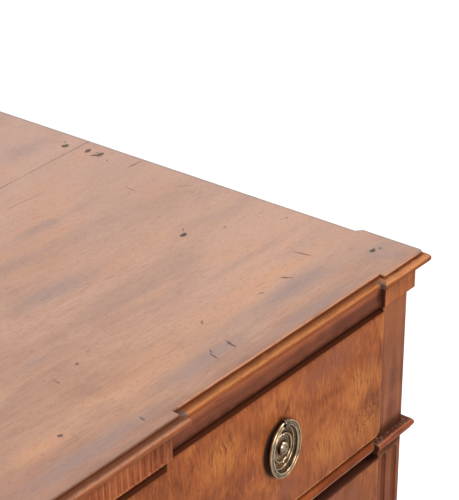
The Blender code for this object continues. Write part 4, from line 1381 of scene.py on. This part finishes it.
def ring_mesh(hinge, half_width, half_height):
    """An oval ring with beaded face, hung from its hinge."""
    shape = bmesh.new()
    path_width = half_width - RING_BAND
    path_height = half_height - RING_BAND
    centre = hinge - Vector((0.0, 0.0, half_height - RING_TUBE / 2))
    rows = []
    for i in range(TURN_STEPS):
        turn = math.tau * i / TURN_STEPS
        point = Vector((path_width * math.sin(turn), 0.0, path_height * math.cos(turn)))
        out = Vector((math.sin(turn) / path_width, 0.0, math.cos(turn) / path_height)).normalized()
        row = []
        for outward, forward in ring_section():
            row.append(shape.verts.new(centre + point + out * outward + Vector((0.0, -forward, 0.0))))
        rows.append(row)
    bridge(shape, rows + rows[:1])
    return closed_mesh(shape)


def dress_escutcheon(drawer, finishes):
    """An oval keyhole plate with a beaded rim."""
    node = f"{drawer}_escutcheon"
    middle, half = middle_and_half(node)
    middle.y += half.y
    thickness = 2 * half.y
    profile = [(0.0, thickness * 0.7), (0.70, thickness * 0.72)]
    profile += bead_rise(0.74, 0.98, thickness * 0.6, thickness * 1.25, 7)
    profile += [(1.0, thickness * 0.4), (1.0, 0.0), (0.0, 0.0)]
    rim = Vector((half.x, half.z))
    shape = turned_oval(profile, rim * BEAD_SHARE, rim)
    bmesh.ops.translate(shape, verts=shape.verts, vec=middle)
    plate = placed("keyhole_plate", closed_mesh(shape))

    hole = bmesh.new()
    bore = Matrix.Translation(middle) @ Matrix.Rotation(math.pi / 2, 4, "X")
    radii = {"radius1": KEYHOLE_RADIUS, "radius2": KEYHOLE_RADIUS}
    bmesh.ops.create_cone(hole, cap_ends=True, segments=24, **radii, depth=KEYHOLE_CUT, matrix=bore)
    slit = bmesh.new()
    slit_size = Matrix.Diagonal((KEYHOLE_SLIT_WIDTH, KEYHOLE_CUT, KEYHOLE_SLIT_HEIGHT, 1.0))
    down = Matrix.Translation(middle - Vector((0.0, 0.0, KEYHOLE_SLIT_HEIGHT / 2)))
    bmesh.ops.create_cube(slit, size=1.0, matrix=down @ slit_size)
    cutters = [placed("keyhole", closed_mesh(shape)) for shape in (hole, slit)]
    piece(node, carved(plate, cutters), finishes, f"{drawer}_drawer")


def soften_node(name, finish, radius=BLOCK_ROUND):
    """Keep a CAD node, give it its finish and take the sharpness off its edges."""
    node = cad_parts[name]
    for place in node.material_slots:
        place.material = finish
    weld = node.modifiers.new("weld", "WELD")
    weld.merge_threshold = WELD_REACH
    bevel = node.modifiers.new("soft_edges", "BEVEL")
    bevel.width = radius
    bevel.segments = 2
    bevel.limit_method = "ANGLE"
    bevel.angle_limit = BEVEL_ANGLE
    bevel.harden_normals = True


# The viewpoint, found from the photograph: a focal length in pixels, two directions and one sighted corner
FOCAL_PIXELS = 1507.0
IMAGE_HEIGHT = 500.0
CAMERA_RIGHT = Vector((0.6339, -0.773, -0.0131))
CAMERA_FORWARD = Vector((0.6824, 0.567, -0.4612))
AIMED_CORNER = Vector((0.5193, -0.2925, 0.833))
CORNER_SIGHT = Vector((0.7651, 0.4624, -0.4676))
CORNER_DISTANCE = 1.38

# Lamps, as (place, aim, size, power), and the white studio
KEY_LAMP = ((0.9, -1.6, 3.2), (0.2, -0.1, 0.8), 1.4, 55.0)
FILL_LAMP = ((-1.6, -2.6, 1.9), (0.2, -0.2, 0.7), 1.6, 45.0)
AMBIENT = 0.30
WHITE = (1.0, 1.0, 1.0)
FLOOR_GREY = (0.86, 0.86, 0.86)
FLOOR_GLOW = 0.68
FLOOR_HALF = 6.0


def add_camera():
    """The photograph's viewpoint: above and left of the front, looking down at the right corner."""
    data = bpy.data.cameras.new("camera")
    data.sensor_width = 36.0
    data.lens = FOCAL_PIXELS / IMAGE_HEIGHT * data.sensor_width
    data.clip_start = 0.01
    camera = placed("camera", data)
    forward = CAMERA_FORWARD.normalized()
    upward = CAMERA_RIGHT.cross(forward).normalized()
    rightward = forward.cross(upward)
    matrix = Matrix((rightward, upward, -forward)).transposed().to_4x4()
    matrix.translation = AIMED_CORNER - CORNER_DISTANCE * CORNER_SIGHT
    camera.matrix_world = matrix
    bpy.context.scene.camera = camera


def add_lamp(name, place, aim, size, power):
    """A square soft lamp turned towards a point."""
    data = bpy.data.lights.new(name, "AREA")
    data.shape = "SQUARE"
    data.size = size
    data.energy = power
    lamp = placed(name, data)
    lamp.location = place
    lamp.rotation_euler = (Vector(aim) - Vector(place)).to_track_quat("-Z", "Y").to_euler()


def add_world():
    """A white studio: white to the eye and in reflections, softer as light on the commode."""
    world = bpy.data.worlds.new("studio")
    world.use_nodes = True
    world.node_tree.nodes.clear()
    bpy.context.scene.world = world
    f = Finish(world.node_tree)
    path = f.node("ShaderNodeLightPath", out="Is Camera Ray")
    outputs = path.socket.node.outputs
    seen = path.most(Signal(f, outputs["Is Glossy Ray"])).most(Signal(f, outputs["Is Transmission Ray"]))
    strength = AMBIENT + (1.0 - AMBIENT) * seen
    light = f.node("ShaderNodeBackground", {}, {"Color": WHITE, "Strength": strength})
    f.node("ShaderNodeOutputWorld", {}, {"Surface": light})


def add_floor():
    """A pale floor that looks white where it is lit and keeps the commode's shadow."""
    shape = bmesh.new()
    bmesh.ops.create_grid(shape, x_segments=1, y_segments=1, size=FLOOR_HALF)
    floor = placed("floor", closed_mesh(shape))
    material, f = new_finish("floor")
    glow = FLOOR_GLOW * f.node("ShaderNodeLightPath", out="Is Camera Ray")
    diffuse = f.node("ShaderNodeBsdfDiffuse", {}, {"Color": FLOOR_GREY})
    shine = f.node("ShaderNodeEmission", {}, {"Color": WHITE, "Strength": glow})
    both = f.node("ShaderNodeAddShader", {}, {0: diffuse, 1: shine})
    f.node("ShaderNodeOutputMaterial", {}, {"Surface": both})
    floor.data.materials.append(material)


# Painted shadow with grime round a pull and painted shade behind its ring, as shifts (left or right, down)
SHADOW_SHIFT = (0.0031, 0.0012)
SHADOW_REACH = 0.0018
GAP_SHIFT = (0.0050, 0.0034)


def pull_shadows():
    """Painted shadow with grime on the drawer fronts at each pull, lower and to the left, and painted shade
    behind its ring.
    """
    rows = []
    for drawer in DRAWERS:
        for side in SIDES:
            middle, half = middle_and_half(f"{drawer}_{side}_ring")
            place = (middle.x - SHADOW_SHIFT[0], middle.z - SHADOW_SHIFT[1])
            rows.append(((*place, half.x + SHADOW_REACH, half.z + SHADOW_REACH, 0, 1.0), PULL_SHADOW_AND_GRIME))
            behind = (middle.x + GAP_SHIFT[0], middle.z - GAP_SHIFT[1])
            rows.append(((*behind, half.x, half.z, 0, 0.9), RING_SHADE))
    return rows


def top_finishes():
    """The finishes of the top's level faces and of its moulding, fitted to its box."""
    low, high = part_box("top_board")
    nose_y = low[1] + CENTRE_ADVANCE
    bay_y = nose_y + BAY_STEP
    centre_outer = CENTRE_BLOCK_WIDTH / 2
    block_inner = high[0] - CORNER_BLOCK_WIDTH
    side = high[0] - SIDE_STEP
    mitres = ((centre_outer, bay_y), (block_inner, bay_y))
    corner = (high[0], nose_y, high[2] - TOP_NOSE)
    thickness = high[2] - low[2]
    level_wood = top_finish(low[1] + TOP_LIP, side - SIDE_LIP_SHARE * TOP_LIP, centre_outer)
    edge_wood = edge_finish(high[2], thickness, mitres, corner, centre_outer, block_inner, side - TOP_LIP)
    return level_wood, edge_wood


def dress_commode():
    """Every finish, every dressed piece, and the softened CAD nodes that stay."""
    woods = wood_finishes()
    fronts = [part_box(f"{drawer}_drawer_front") for drawer in DRAWERS]
    drawer_wood = drawer_finish(pull_shadows(), fronts[0][1][0], [front[0][2] for front in fronts])
    brass = [brass_finish(f"{name}_dressed", **recipe) for name, recipe in BRASSES.items()]

    dress_top(top_finishes())
    dress_ledge("waist", woods["ledge"], woods["return"])
    dress_ledge("base", woods["ledge"], woods["return"])
    dress_tablet(woods["tablet"])
    for side in SIDES:
        dress_post(side, woods["post"])
    for drawer in DRAWERS:
        dress_drawer(drawer, drawer_wood)
        dress_escutcheon(drawer, brass)
        for side in SIDES:
            dress_pull(drawer, side, brass)

    soften_node("frieze_rail", woods["frieze"])
    soften_node("middle_rail", woods["frieze"])
    for side in SIDES:
        soften_node(f"capital_{side}", woods["capital"], CAPITAL_ROUND)
        soften_node(f"side_frieze_{side}", woods["case"])
        soften_node(f"side_panel_{side}", woods["case"])
        soften_node(f"back_post_{side}", woods["post"])
    for name in ("back_board_upper", "back_board_lower", "bottom_board"):
        soften_node(name, woods["plain"])
    for drawer in DRAWERS:
        for side in SIDES:
            soften_node(f"{drawer}_runner_{side}", woods["side"])
            soften_node(f"{drawer}_drawer_{side}_side", woods["side"])
        soften_node(f"{drawer}_drawer_back", woods["plain"])
        soften_node(f"{drawer}_drawer_floor", woods["plain"])


noise.seed_set(SWAY_SEED)
dress_commode()
add_world()
add_floor()
add_lamp("key_lamp", *KEY_LAMP)
add_lamp("fill_lamp", *FILL_LAMP)
add_camera()
bpy.context.scene.view_settings.view_transform = "Standard"
